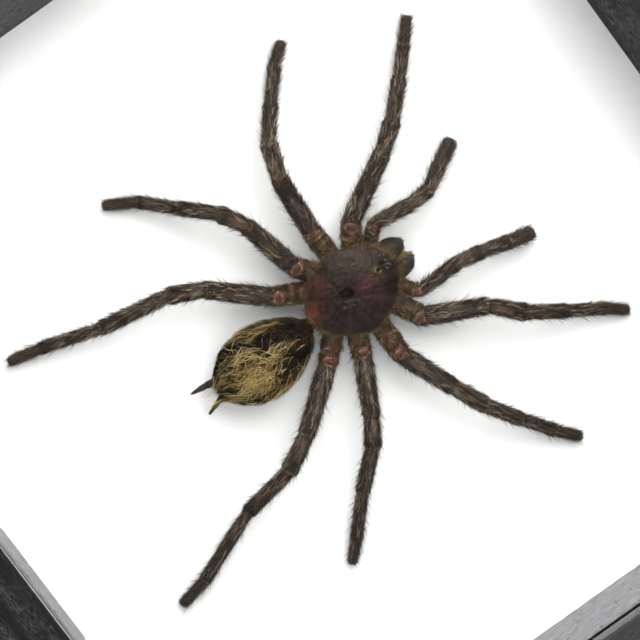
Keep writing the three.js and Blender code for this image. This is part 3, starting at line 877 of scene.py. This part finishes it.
# Strength, middle, half width and, where it isn't 1, stretch ahead of each patch of colour
PATCHES = {
    "olive": ((0.9, (-7.4, 4.8), 4.4), (0.7, (-3.4, 8.9), 2.0)),
    "plum": ((0.85, (-0.8, 4.6), 1.9, 1.5), (0.12, (4.8, 4.1), 3.0)),
    "rust": ((1.0, (-2.2, -10.8), 2.9, 0.8), (0.3, (-7.0, -5.6), 3.0)),
    "horn": ((0.05, PIN_HOLE, 1.3),),
    # black: painted shade in and round the pit and in the pin hole, the eye mound's own black, and a dark
    # patch on the right of the head
    "black": (
        (1.2, PIT, 1.3, 1.2), (0.3, PIT, 2.6), (1.4, PIN_HOLE, 0.42),
        (1.2, EYE_MOUND, 2.3, 0.85), (0.7, (5.2, 9.6), 2.4),
    ),
}


def carapace_edge(turn):
    """How far the rim is from the middle, to the left and ahead, at turn from straight ahead."""
    ahead = np.cos(turn)
    reach = np.where(ahead > 0, CARAPACE_FRONT, CARAPACE_REAR)
    behind = np.tanh(2.6 * np.clip(-ahead, 0, None)) ** 2
    taper = HEAD_TAPER * np.clip(ahead, 0, None) ** 2 + TAIL_TAPER * behind
    width = CARAPACE_HALF_WIDTH * (1 - taper)
    uneven = 1 - 0.018 * (1 + np.sin(5 * turn + 1) * np.sin(3 * turn))
    return -width * np.sin(turn) * uneven, reach * ahead * uneven


def carapace_share(x, y):
    """0 at the body's middle, 1 at the rim."""
    rim = np.linspace(-np.pi, np.pi, 721)
    edge_x, edge_y = carapace_edge(rim)
    heading = np.unwrap(np.arctan2(-edge_x, edge_y))
    reach = np.interp(np.arctan2(-x, y), heading, np.hypot(edge_x, edge_y))
    return np.hypot(x, y) / reach


def bump_at(x, y, centre, size, stretch=1.0):
    """1 at centre, fading over size millimetres, or size times stretch ahead and behind."""
    return np.exp(-((x - centre[0]) / size) ** 2 - ((y - centre[1]) / (size * stretch)) ** 2)


def bumps_at(x, y, bumps):
    return sum(amount * bump_at(x, y, *shape) for amount, *shape in bumps)


def carapace_height(x, y):
    """Height of the shield over its rim, at points relative to the body's middle."""
    radius = np.clip(carapace_share(x, y), 0, 1)
    height = DOME * (1 - radius ** 2.6) ** 0.75 + bumps_at(x, y, SWELLS)
    heading = np.degrees(np.arctan2(x - PIT[0], y - PIT[1]))
    reach = np.hypot(x - PIT[0], y - PIT[1])
    fade = np.clip((reach - 1.5) / 4, 0, 1) * (1 - radius ** 3)
    for number, groove in enumerate(GROOVES):
        for side in (-1, 1):
            bend = 6 * np.sin(0.8 * reach + number + side)
            off = (heading + bend - side * groove + 180) % 360 - 180
            across = np.radians(off) * reach
            depth = 0.24 + 0.08 * np.sin(3 * number + side)
            height = height - depth * np.exp(-(across / 0.6) ** 2) * fade
    lumps = sum(np.sin(a * x + b * y + c) for a, b, c in LUMPS)
    return height + 0.032 * lumps * (1 - radius ** 6) * (1 - bump_at(x, y, EYE_MOUND, 1.8))


def carapace_skin(x, y):
    """Point and outward normal on the shield at (x, y) from the body's middle."""
    step = 0.05
    height = carapace_height(x, y)
    slope_x = (carapace_height(x + step, y) - carapace_height(x - step, y)) / (2 * step)
    slope_y = (carapace_height(x, y + step) - carapace_height(x, y - step)) / (2 * step)
    normal = np.column_stack([-slope_x, -slope_y, np.ones_like(x)])
    point = np.column_stack([x + BODY[0], y + BODY[1], RIM + height])
    return point, normal / np.linalg.norm(normal, axis=1, keepdims=True)


def carapace_cuticle():
    """Mottled hard cuticle: maroon-brown, with olive, plum, rusty, horn and black patches. The
    black in and round the pit and in the pin hole is painted shade. Paler streaks ray out from
    the pit, partly the shield's own tone, partly a painted satin highlight. Its grains are
    0.1 mm wide; they are drawn at 0.5 mm, to show."""
    made, tree, place = finish("carapace_cuticle_dried", IOR=1.45, Specular_IOR_Level=0.22)
    mottle = add(tree, "TexNoise", {
        "Vector": place, "Scale": 1 / (1.8 * MM), "Detail": 7.0, "Roughness": 0.75,
    })
    speck = add(tree, "TexNoise", {
        "Vector": place, "Scale": 1 / (0.5 * MM), "Detail": 4.0, "Roughness": 0.7,
    })
    lift = add(tree, "MapRange", {"Value": mottle.outputs[0], "From Min": 0.4, "From Max": 0.62})
    patchy = add(tree, "MapRange", {
        "Value": mottle.outputs[0], "From Min": 0.36, "From Max": 0.58, "To Min": 0.2,
    })
    colour = add(tree, "Mix", {
        MIX_FACTOR: lift.outputs[0], MIX_A: linear("0b0605"), MIX_B: linear("20120f"),
    }, data_type="RGBA").outputs[MIX_RESULT]
    # Painted highlight, in part: paler streaks that ray out from the pit, for a satin shine
    ray = add(tree, "Attribute", attribute_name="ray")
    colour = add(tree, "Mix", {
        MIX_FACTOR: ray.outputs["Fac"], MIX_A: colour, MIX_B: linear("38231f"),
    }, data_type="RGBA").outputs[MIX_RESULT]
    for mask, shade in (("olive", "35291c"), ("plum", "4c282b"), ("rust", "6a3212")):
        share = add(tree, "Attribute", attribute_name=mask)
        broken = add(tree, "Math", {
            0: share.outputs["Fac"], 1: patchy.outputs[0],
        }, operation="MULTIPLY")
        colour = add(tree, "Mix", {
            MIX_FACTOR: broken.outputs[0], MIX_A: colour, MIX_B: linear(shade),
        }, data_type="RGBA").outputs[MIX_RESULT]
    # The black layer is painted shade in the pit and the pin hole, and the eye mound's own black
    for mask, shade in (("horn", "cdbd80"), ("black", "060404")):
        share = add(tree, "Attribute", attribute_name=mask)
        colour = add(tree, "Mix", {
            MIX_FACTOR: share.outputs["Fac"], MIX_A: colour, MIX_B: linear(shade),
        }, data_type="RGBA").outputs[MIX_RESULT]
    return dress(made, colour, mottle.outputs[0], (0.34, 0.62), speck.outputs[0], 0.12, 0.9)


def carapace():
    """The shield: domed above and hollow below, with the masks of its patches."""
    sides, circles = 160, 64
    turn = np.linspace(0, 2 * np.pi, sides, endpoint=False)
    edge_x, edge_y = carapace_edge(turn)
    rings = []
    for circle in range(1, circles + 1):
        share = circle / circles
        rings.append(carapace_skin(edge_x * share, edge_y * share)[0])
    for share, drop in ((0.995, 0.35), (0.97, 0.6), (0.7, 0.5), (0.3, 0.2)):
        under = carapace_skin(edge_x * share, edge_y * share)[0]
        under[:, 2] = np.minimum(under[:, 2], RIM + 1.6 * (1 - share)) - drop
        rings.append(under)
    points, faces = np.concatenate(rings), tube_faces(len(rings), sides, turned=True)
    made = piece("carapace_shield", points, faces, carapace_cuticle(), ["cephalothorax"])
    x, y = points[:, 0] - BODY[0], points[:, 1] - BODY[1]
    masks = {name: bumps_at(x, y, bumps) for name, bumps in PATCHES.items()}
    from_hole = np.hypot(x - PIN_HOLE[0], y - PIN_HOLE[1])
    broken = 0.45 + 0.55 * np.sin(2 * np.arctan2(y - PIN_HOLE[1], x - PIN_HOLE[0]))
    masks["horn"] += 0.5 * np.exp(-(((from_hole - 0.68) / 0.12) ** 2)) * broken
    # Paler streaks ray out from the pit: partly the shield's own tone, partly a painted satin highlight
    around, reach = np.arctan2(y - PIT[1], x - PIT[0]), np.hypot(x - PIT[0], y - PIT[1])
    waves = ((9, 0.4), (14, 2.1), (23, 1.0), (31, 4.4), (44, 3.0))
    streaks = sum(np.sin(n * around + phase) for n, phase in waves)
    ray = 0.5 * np.clip(0.4 + streaks / 2.5, 0, 1) * np.clip((reach - 1.5) / 3, 0, 1)
    paint(made, ray=ray, **masks)


carapace()

breastplate_cuticle = cuticle("breastplate_cuticle_dried", "150d0a", "2e1f17", "5a3226", "5e2c14")


def breastplate():
    """The flat underside that the limbs ring, closed above inside the shield."""
    layers = (  # height over the rim, and width as a share of the shield's
        (-6.2, 0.12), (-6.1, 0.3), (-5.6, 0.42), (-3.5, 0.5), (-0.8, 0.62), (0.2, 0.6), (0.6, 0.3),
    )
    sides = 48
    turn = np.linspace(0, 2 * np.pi, sides, endpoint=False)
    edge_x, edge_y = carapace_edge(turn)
    points = np.concatenate([
        np.column_stack([
            BODY[0] + edge_x * share, BODY[1] + edge_y * share * 0.9, np.full(sides, RIM + height),
        ])
        for height, share in layers
    ])
    faces = tube_faces(len(layers), sides)
    made = piece("breastplate_and_flanks", points, faces, breastplate_cuticle)
    flat = 0 * points[:, 2]
    paint(made, membrane=flat + 0.2, rust=flat + 0.8, bloom=flat)


breastplate()

# Short flattened bristles ray out over the shield, and a tangled tan fringe hangs at its rim.

shield_setae = bristle("carapace_setae_chitin", "110b09", "36271d", "8a7354", "8a744a")


def carapace_coat():
    """Short flat bristles with bald spots, tufts on the left front, and the rim's fringe."""
    count = 10000
    turn = spread(0, 2 * np.pi, count)
    share = np.sqrt(spread(0.01, 0.97, count))
    edge_x, edge_y = carapace_edge(turn)
    x, y = edge_x * share, edge_y * share
    bald = sum(bump_at(x, y, *spot) for spot in (
        (PIT, 1.8), (EYE_MOUND, 3.0), (PIN_HOLE, 1.7), ((-0.5, 4.2), 3.2), ((4.5, 6.0), 4.0)))
    keep = rng.random(count) > 0.3 + 0.7 * bald
    x, y, count = x[keep], y[keep], int(keep.sum())
    olive = bump_at(x, y, (-7.4, 4.8), 4.0)
    outward = np.arctan2(y - PIT[1], x - PIT[0]) + rng.normal(0, 0.3, count)
    groups = [strands(carapace_skin, x, y, outward, spread(0.5, 1.2, count),
                      spread(0.03, 0.14, count), spread(0.06, 0.1, count),
                      rng.random(count) ** 3 * 0.45 + 0.4 * olive * rng.random(count))]

    tufts, per_tuft = 170, 3
    count = tufts * per_tuft
    turn = rng.normal(1.1, 0.6, tufts)
    edge_x, edge_y = carapace_edge(turn)
    inside = spread(0.3, 0.96, tufts)
    x, y = np.repeat(edge_x * inside, per_tuft), np.repeat(edge_y * inside, per_tuft)
    outward = np.arctan2(y - PIT[1], x - PIT[0]) + np.repeat(rng.normal(0, 0.7, tufts), per_tuft)
    groups.append(strands(carapace_skin, x + rng.normal(0, 0.2, count),
                          y + rng.normal(0, 0.2, count), outward, spread(0.6, 1.3, count),
                          spread(0.08, 0.3, count), spread(0.08, 0.12, count),
                          np.repeat(spread(0.05, 0.7, tufts), per_tuft), 0.12, rings=3, curl=0.5))

    rim = 900
    turn = spread(0, 2 * np.pi, rim)
    edge_x, edge_y = carapace_edge(turn)
    inset = spread(0.93, 0.99, rim)
    rear = np.clip(-np.cos(turn), 0, 1)
    sideways = (0.4 + 0.7 * rear) * rng.choice((-1, 1), rim)
    outward = np.arctan2(edge_y, edge_x) + sideways + rng.normal(0, 0.5, rim)
    groups.append(strands(carapace_skin, edge_x * inset, edge_y * inset, outward,
                          spread(1.0, 2.8, rim), spread(-0.1, 0.7, rim), spread(0.08, 0.13, rim),
                          rng.random(rim), 0.6 * rng.random(rim) ** 2, rings=4, curl=0.7))
    bristle_piece("carapace_setae", groups, shield_setae)


carapace_coat()


# ---- Eyes ---------------------------------------------------------------------------
# Eight lenses of clear cuticle, black behind, in two rows on their mound. They are smoother
# than the shield that they grow from.

# Clear cuticle over black: a dark gloss that keeps a soft highlight when the rest has dulled
wet_black = mottled(
    "eye_lens_clear_cuticle", "050405", "38272a", 0.9, (0.05, 0.16),
    IOR=1.5, Coat_Weight=0.4, Coat_Roughness=0.12,
)

# Across and ahead of the mound's middle, and half width, for one side
EYES = ((0.5, 0.2, 0.5), (1.35, 0.55, 0.45), (1.05, -0.55, 0.4), (1.75, -0.3, 0.42))


def lens(name, x, y, size):
    """Most of a slightly flattened ball, set into the mound."""
    base, normal = (value[0] for value in carapace_skin(np.array([x]), np.array([y])))
    up = Vector(normal)
    side = up.orthogonal().normalized()
    front = up.cross(side)
    sides, rows = 20, 9
    points = []
    for row in range(rows):
        climb = math.radians(-50 + 136 * row / (rows - 1))
        for j in range(sides):
            turn = 2 * math.pi * j / sides
            flat = (side * math.cos(turn) + front * math.sin(turn) * 0.88) * math.cos(climb) * size
            points.append(Vector(base) + flat + up * (math.sin(climb) * size * 0.8))
    piece(name, points, tube_faces(rows, sides), wet_black)


for side, hand in ((-1, "left"), (1, "right")):
    for number, (across, ahead, size) in enumerate(EYES, 1):
        lens(f"eye_{hand}_{number}", EYE_MOUND[0] + side * across, EYE_MOUND[1] + ahead, size)


# ---- Chelicerae and fangs -----------------------------------------------------------
# The jaw bases: two stout ovals of dark cuticle side by side, rusty where they leave the
# head, each with a fang folded under it and a golden brush along its inner edge.

JAWS_MIDDLE, JAW_APART = BODY[0] + 0.4, 2.45
JAW_SECTIONS = (  # ahead, height, half width, half height
    (16.9, 7.4, 1.8, 1.5), (18.6, 7.4, 2.5, 2.4), (20.4, 7.1, 2.8, 3.2), (22.4, 6.7, 2.75, 3.4),
    (23.8, 6.2, 2.2, 3.0), (24.7, 5.8, 1.5, 2.2), (25.1, 5.5, 0.8, 1.2), (25.3, 5.4, 0.3, 0.4),
)


class StoutLimb(Limb):
    """A short thick limb whose sections are given along its length, in frame coordinates."""

    def __init__(self, sections, x, lean=0.0, ease=4):
        sections = np.array(sections)
        corners = np.column_stack([
            x + lean * (sections[:, 0] - sections[0, 0]), sections[:, 0], BOARD + sections[:, 1],
        ])

        def outline(at, joints):
            weights = np.hanning(2 * ease + 3)[1:-1]
            widths = []
            for k in (2, 3):
                padded = np.pad(
                    np.interp(at, joints, sections[:, k]), ease, mode="reflect", reflect_type="odd")
                widths.append(np.convolve(padded, weights / weights.sum(), "valid"))
            return widths
        super().__init__(corners, outline, ease=2)


jaw_cuticle = cuticle("jaw_cuticle_dried", "15110e", "3c332a", "6a4a2c", "7a3c16")
jaw_setae = bristle("jaw_brush_setae", "151210", "4c4334", "b3a070", "8c7442")


def jaw(side, hand):
    """The jaw's creased skin, its short bristles and the brush along its inner edge."""
    limb = StoutLimb(JAW_SECTIONS, JAWS_MIDDLE + side * JAW_APART)
    points, faces, along, turns = limb.rings(36, creases(40 + side, 0.07))
    name = f"chelicera_{hand}"
    made = piece(name + "_skin", points, faces, jaw_cuticle, [name])
    base = 1 / (1 + np.exp(1.8 * (along - 4.0)))
    paint(made, membrane=0.4 * base, rust=base, bloom=0 * along)
    count = 2600
    along = spread(0.8, limb.length - 0.4, count)
    groups = [strands(limb.skin, along, spread(0, limb.around, count), rng.normal(0, 0.3, count),
                      spread(0.6, 1.4, count), spread(0.06, 0.5, count), spread(0.08, 0.13, count),
                      rng.random(count) ** 2 * 0.5, 0.5 * (along < 3.5) * rng.random(count))]
    brush = 330
    inner = spread(-0.5, 0.75, brush)
    turn = inner if side > 0 else np.pi - inner
    groups.append(strands(limb.skin, spread(4.4, limb.length - 0.3, brush), turn * limb.girth,
                          rng.normal(0, 0.6, brush), spread(0.8, 1.7, brush),
                          spread(0.2, 0.9, brush), spread(0.09, 0.14, brush),
                          spread(0.45, 1.0, brush), rng.random(brush), rings=4, curl=0.5))
    bristle_piece(name + "_setae", groups, jaw_setae)


# Thick polished chitin: nearly black, red-brown where light gets into it, with a hard shine
polished = mottled(
    "fang_chitin_polished", "0c0909", "3a1a14", 1.2, (0.12, 0.28),
    IOR=1.58, Coat_Weight=0.6, Coat_Roughness=0.1,
)


def fang(side, hand):
    """A curved, tapered claw from the jaw's lower front, folded back under it."""
    steps, sides = 26, 14
    points = []
    for step in range(steps):
        share = step / (steps - 1)
        sweep = math.radians(20 + 150 * share)
        centre = Vector((
            JAWS_MIDDLE + side * (2.6 - share),
            21.4 + 2.4 * math.cos(sweep),
            BOARD + 4.2 - 2.4 * math.sin(sweep),
        ))
        ahead = Vector((-side * 0.2, -math.sin(sweep), -math.cos(sweep))).normalized()
        across = ahead.orthogonal().normalized()
        over = ahead.cross(across)
        girth = 0.72 * (1 - share) ** 0.6 + 0.04
        for j in range(sides):
            turn = 2 * math.pi * j / sides
            points.append(centre + (across * math.cos(turn) + over * math.sin(turn)) * girth)
    piece(f"fang_{hand}", points, tube_faces(steps, sides), polished)


for side, hand in ((-1, "left"), (1, "right")):
    jaw(side, hand)
    fang(side, hand)


# ---- Abdomen ------------------------------------------------------------------------
# A soft egg of black cuticle, shrunken by drying, on a rusty stalk. Long golden and tan
# hair lies over it in wavy locks from front to rear, closest round a worn tan patch.

ABDOMEN_SECTIONS = (  # ahead, height, half width, half height
    (-1.5, 6.4, 1.2, 1.2), (-5.0, 6.6, 1.6, 1.5), (-6.4, 7.1, 2.9, 2.5), (-7.8, 7.7, 4.4, 3.6),
    (-10.3, 8.1, 6.0, 4.9), (-13.8, 8.3, 7.9, 5.9), (-17.8, 8.3, 9.0, 6.2), (-21.9, 8.2, 9.1, 6.0),
    (-25.5, 7.9, 8.2, 5.4), (-28.7, 7.4, 6.4, 4.6), (-31.1, 6.9, 4.1, 3.3), (-32.5, 6.6, 2.0, 1.8),
)

abdomen_cuticle = cuticle(
    "abdomen_cuticle_dried", "030202", "0b0908", "6e5232", "7a3614", gloss=(0.75, 0.95), shine=0.08)
abdomen_hair = bristle("abdomen_hair_chitin", "070505", "7a5f30", "ecd592", "c39a4e")


def abdomen():
    """The skin and its hair: a dark undercoat, wavy wisps, lone hairs and the worn patch."""
    limb = StoutLimb(ABDOMEN_SECTIONS, BODY[0] + 1.6, lean=-0.02, ease=7)
    dents = creases(61, 0.45)
    fine = creases(62, 0.34)
    points, faces, along, turns = limb.rings(88, lambda at, turn: (
        (dents(at * 0.5, turn) + fine(at * 1.7, 2 * turn)) * np.clip((at - 5) / 3, 0, 1)))
    made = piece("abdomen_skin", points, faces, abdomen_cuticle, ["abdomen"])

    def worn(along, turn):
        """The patch on its back, from 0 to 1."""
        off = (turn - np.pi / 2) * 8.5 + 1.0
        return np.exp(-(((along - 21.0) / 4.8) ** 2) - (off / 4.0) ** 2)

    paint(made, membrane=0.65 * worn(along, turns), rust=1.4 - along / 5.0, bloom=0 * along)

    under = 11500
    at, around = spread(4.5, limb.length - 0.3, under), spread(0, limb.around, under)
    groups = [strands(limb.skin, at, around, rng.normal(0, 0.6, under), spread(0.9, 2.4, under),
                      spread(0.15, 1.4, under), spread(0.1, 0.16, under),
                      rng.random(under) ** 5 * 0.4)]

    wisps, per_wisp = 270, 4
    count = wisps * per_wisp
    at, around = spread(7.5, limb.length - 3.0, wisps), spread(0, limb.around, wisps)
    near = worn(at, around / limb.girth)
    side = np.clip(np.abs(around / limb.girth - np.pi / 2) - 0.9, 0, 1)
    rear = np.clip((at - 19) / 8, 0, 1)
    dense = np.clip((at - 6) / 12, 0.1, 0.5) * (1 - 0.3 * side) * (1 - 0.6 * rear) + 0.35 * near
    keep = rng.random(wisps) < dense
    shade = np.clip(0.6 + 0.3 * near - 0.3 * side + rng.normal(0, 0.28, wisps), 0.1, 1)
    sway = rng.normal(0, 0.28, wisps)
    reach = spread(4.5, 9.5, wisps)
    at, around, sway, shade, keep, reach = (
        np.repeat(values, per_wisp) for values in (at, around, sway, shade, keep, reach))
    offset = rng.normal(0, 0.28, count)
    groups.append(strands(limb.skin, *(v[keep] for v in (
        at + rng.normal(0, 0.5, count), around + offset, sway - offset / reach,
        reach * spread(0.8, 1.1, count), spread(0.4, 1.3, count), spread(0.09, 0.14, count),
        shade)), rings=7, curl=0.24, cling=0.6))

    lone = 170
    at, around = spread(7.5, limb.length - 2.0, lone), spread(0, limb.around, lone)
    groups.append(strands(limb.skin, at, around, rng.normal(0, 0.7, lone), spread(2.5, 6.0, lone),
                          spread(0.6, 1.7, lone), spread(0.11, 0.16, lone), spread(0.4, 1, lone),
                          rings=7, curl=0.5, cling=0.7))

    patch = 210
    at = rng.normal(20.5, 2.8, patch)
    around = (np.pi / 2 + rng.normal(0.0, 0.34, patch)) * limb.girth
    groups.append(strands(limb.skin, at - 1.5, around, rng.normal(0.1, 0.5, patch),
                          spread(2.5, 5.0, patch), spread(0.4, 1.0, patch),
                          spread(0.12, 0.18, patch), spread(0.6, 1.0, patch),
                          0.6 * rng.random(patch), rings=5, curl=0.18, cling=0.7))
    bristle_piece("abdomen_hair", groups, abdomen_hair)


abdomen()


# ---- Spinnerets ---------------------------------------------------------------------
# The two long hind spinnerets, which grow from the abdomen's end: three-jointed fingers of
# brown-black cuticle that taper to a point, finely bristled.

def spinneret(hand, base, tip, girth):
    """One finger from base to tip, above the board, girth mm in half width at its root."""
    base, tip = np.array(base), np.array(tip)
    corners = np.array([base + (tip - base) * share for share in (0, 0.36, 0.68, 1)])
    corners[:, 2] += BOARD
    girths = girth * np.array(((1, 1), (0.9, 0.8), (0.72, 0.32)))
    limb = Limb(corners, segmented(girths, 1.4), ease=1)
    points, faces, along, turns = limb.rings(16, creases(70, 0.04))
    name = f"spinneret_{hand}"
    made = piece(name + "_skin", points, faces, limb_cuticle, [name])
    paint(made, membrane=0 * along, rust=0 * along, bloom=0 * along)
    count = 420
    groups = [strands(limb.skin, spread(0.1, limb.length - 0.4, count),
                      spread(0, limb.around, count), rng.normal(0, 0.3, count),
                      spread(0.4, 0.9, count), spread(0.05, 0.3, count),
                      spread(0.06, 0.1, count), spread(0, 0.3, count))]
    bristle_piece(name + "_setae", groups, limb_setae)


spinneret("left", (1.3, -31.7, 5.8), (1.0, -38.7, 4.2), 0.86)
spinneret("right", (5.4, -31.7, 5.4), (8.1, -38.2, 4.2), 0.68)


# ---- Back panel ---------------------------------------------------------------------
# A sheet of brown hardboard, cut to the rabbet and laid in behind the board with its smooth
# pressed face out.

def pressed_fibre():
    """Pressed wood fibre: half matt, mottled light and dark. The fibres are 0.05 mm wide; they
    are drawn at 0.8 mm, to show."""
    made, tree, place = finish("hardboard_pressed_fibre", IOR=1.45)
    fibre = add(tree, "TexNoise", {
        "Vector": place, "Scale": 1 / (0.8 * MM), "Detail": 6.0, "Roughness": 0.7,
    })
    cloud = add(tree, "TexNoise", {"Vector": place, "Scale": 1 / (25 * MM), "Detail": 3.0})
    marks = add(tree, "MapRange", {"Value": fibre.outputs[0], "From Min": 0.35, "From Max": 0.65})
    base = add(tree, "Mix", {
        MIX_FACTOR: marks.outputs[0], MIX_A: linear("5c4028"), MIX_B: linear("8a6a46"),
    }, data_type="RGBA")
    worn = add(tree, "Mix", {
        MIX_FACTOR: cloud.outputs[0], MIX_A: base.outputs[MIX_RESULT], MIX_B: linear("74573a"),
    }, data_type="RGBA")
    return dress(
        made, worn.outputs[MIX_RESULT], cloud.outputs[0], (0.55, 0.75), fibre.outputs[0], 0.06, 0.5)


sheet("back_panel_hardboard", "back_panel", 0.3, pressed_fibre())


# ---- Steel points and hanger --------------------------------------------------------
# Flexible points are blanked from spring steel strip and shot into the rabbet. The hanger
# is a pressed, zinc-plated plate held by two aluminium rivets.

def rolled_metal(name, dark, light, rough):
    """Bare rolled or pressed metal: a soft shine, broken by fine rolling lines and slight
    stains. The lines are 0.02 mm wide; they are drawn at 0.3 mm, to show."""
    made, tree, place = finish(name, Metallic=1.0)
    line_length, line_width = 6 * MM, 0.3 * MM
    rolled_at = add(tree, "Mapping", {
        "Vector": place, "Scale": (1 / line_length, 1 / line_width, 1 / line_width),
    })
    rolled = add(tree, "TexNoise", {"Vector": rolled_at.outputs[0], "Scale": 1.0, "Detail": 3.0})
    stain = add(tree, "TexNoise", {"Vector": place, "Scale": 1 / (5 * MM), "Detail": 4.0})
    tone = add(tree, "Mix", {
        MIX_FACTOR: stain.outputs[0], MIX_A: linear(dark), MIX_B: linear(light),
    }, data_type="RGBA")
    return dress(made, tone.outputs[MIX_RESULT], rolled.outputs[0], (rough - 0.1, rough + 0.14))


spring_steel = rolled_metal("spring_steel_rolled_strip", "6d7072", "a2a5a7", 0.34)
zinc_plate = rolled_metal("zinc_plated_pressed_steel", "8f8d84", "c9c6ba", 0.3)
rivet_metal = rolled_metal("aluminium_rivet_headed", "b0b2b4", "dcdee0", 0.32)


def soften(node, material, width):
    """Gives a packed metal piece its finish, and eases its sheared edges."""
    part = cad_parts[node]
    part.data.materials.clear()
    part.data.materials.append(material)
    eased = part.modifiers.new("eased edges", "BEVEL")
    eased.width = width * MM
    eased.segments = 2
    eased.limit_method = "ANGLE"


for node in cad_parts:
    if node.startswith("flex_tab"):
        soften(node, spring_steel, 0.12)
soften("hanger_plate", zinc_plate, 0.15)
soften("hanger_rivet_left", rivet_metal, 0.1)
soften("hanger_rivet_right", rivet_metal, 0.1)


# ---- Studio -------------------------------------------------------------------------
# A plain pale floor, a soft key lamp from the upper left of the head end, a weaker one
# opposite and pale walls. None of it belongs to the box.

def studio_floor():
    """A matt pale sheet, just under the box."""
    made, tree, place = finish("pale_floor_matt", Roughness=0.9)
    cloud = add(tree, "TexNoise", {"Vector": place, "Scale": 6.0, "Detail": 2.0})
    tone = add(tree, "Mix", {
        MIX_FACTOR: cloud.outputs[0], MIX_A: linear("dcdcda"), MIX_B: linear("e2e2e0"),
    }, data_type="RGBA")
    surface = tree.nodes["Principled BSDF"]
    tree.links.new(tone.outputs[MIX_RESULT], surface.inputs["Base Color"])
    half, below = 3.0, 0.0002  # metres
    corners = [(-half, -half, 0), (half, -half, 0), (half, half, 0), (-half, half, 0)]
    mesh = bpy.data.meshes.new("floor")
    mesh.from_pydata(corners, [], [(0, 1, 2, 3)])
    mesh.materials.append(made)
    floor = bpy.data.objects.new("floor", mesh)
    floor.location.z = -below
    bpy.context.scene.collection.objects.link(floor)


studio_floor()

AIM = Vector((6.5, -2.55, BOARD)) * MM  # the spot that the lamps and the camera face


def lamp(name, toward, distance, size, power):
    """A square soft lamp, distance metres from the specimen and facing it."""
    data = bpy.data.lights.new(name, "AREA")
    data.shape, data.size, data.energy = "SQUARE", size, power
    made = bpy.data.objects.new(name, data)
    direction = Vector(toward).normalized()
    made.location = AIM + direction * distance
    made.rotation_euler = direction.to_track_quat("Z", "Y").to_euler()
    bpy.context.scene.collection.objects.link(made)


lamp("key_softbox", (-0.57, 0.43, 0.7), 1.2, 0.9, 16.8)
lamp("fill_softbox", (0.55, -0.6, 0.58), 1.1, 0.6, 2.6)

# The camera's way from the specimen, the way that is up in its view, and the way that the
# glass mirrors to it
CAMERA_TOWARD, CAMERA_TOP = Vector((-0.3211, 0.0521, 0.9456)), Vector((-0.7606, 0.5807, -0.2903))
MIRRORED = (-CAMERA_TOWARD.x, -CAMERA_TOWARD.y, CAMERA_TOWARD.z)

# A pale room, brighter on the key lamp's side and dark only where the glass mirrors it to
# the camera
world = bpy.data.worlds.new("pale_room")
world.use_nodes = True
room = world.node_tree
toward = add(room, "TexCoord").outputs["Generated"]
mirrored = add(room, "VectorMath", {0: toward, 1: MIRRORED}, operation="DOT_PRODUCT")
wall = add(room, "MapRange", {
    "Value": mirrored.outputs["Value"], "From Min": 0.88, "From Max": 0.985,
    "To Min": 1.0, "To Max": 0.04,
})
window = add(room, "VectorMath", {0: toward, 1: (-0.75, 0.66, 0.0)}, operation="DOT_PRODUCT")
paler = add(room, "MapRange", {
    "Value": window.outputs["Value"], "From Min": -1.0, "From Max": 1.0,
    "To Min": 0.48, "To Max": 1.08,
})
glow = add(room, "Math", {0: wall.outputs[0], 1: paler.outputs[0]}, operation="MULTIPLY")
room.links.new(glow.outputs[0], room.nodes["Background"].inputs["Strength"])
room.nodes["Background"].inputs["Color"].default_value = (0.98, 0.99, 1.0, 1.0)
bpy.context.scene.world = world
bpy.context.scene.view_settings.view_transform = "Standard"

# The camera is far off with a long lens, 71 degrees up on the left of the box, and rolled so
# that the head points to the upper right
CAMERA_AWAY = 2.4
camera_data = bpy.data.cameras.new("camera")
camera_data.lens, camera_data.sensor_width = 547.7, 36.0
camera_data.clip_start, camera_data.clip_end = 0.05, 20
camera = bpy.data.objects.new("camera", camera_data)
camera.location = AIM + CAMERA_TOWARD * CAMERA_AWAY
across = CAMERA_TOP.cross(CAMERA_TOWARD)
camera.rotation_euler = Matrix((across, CAMERA_TOP, CAMERA_TOWARD)).transposed().to_euler()
bpy.context.scene.collection.objects.link(camera)
bpy.context.scene.camera = camera
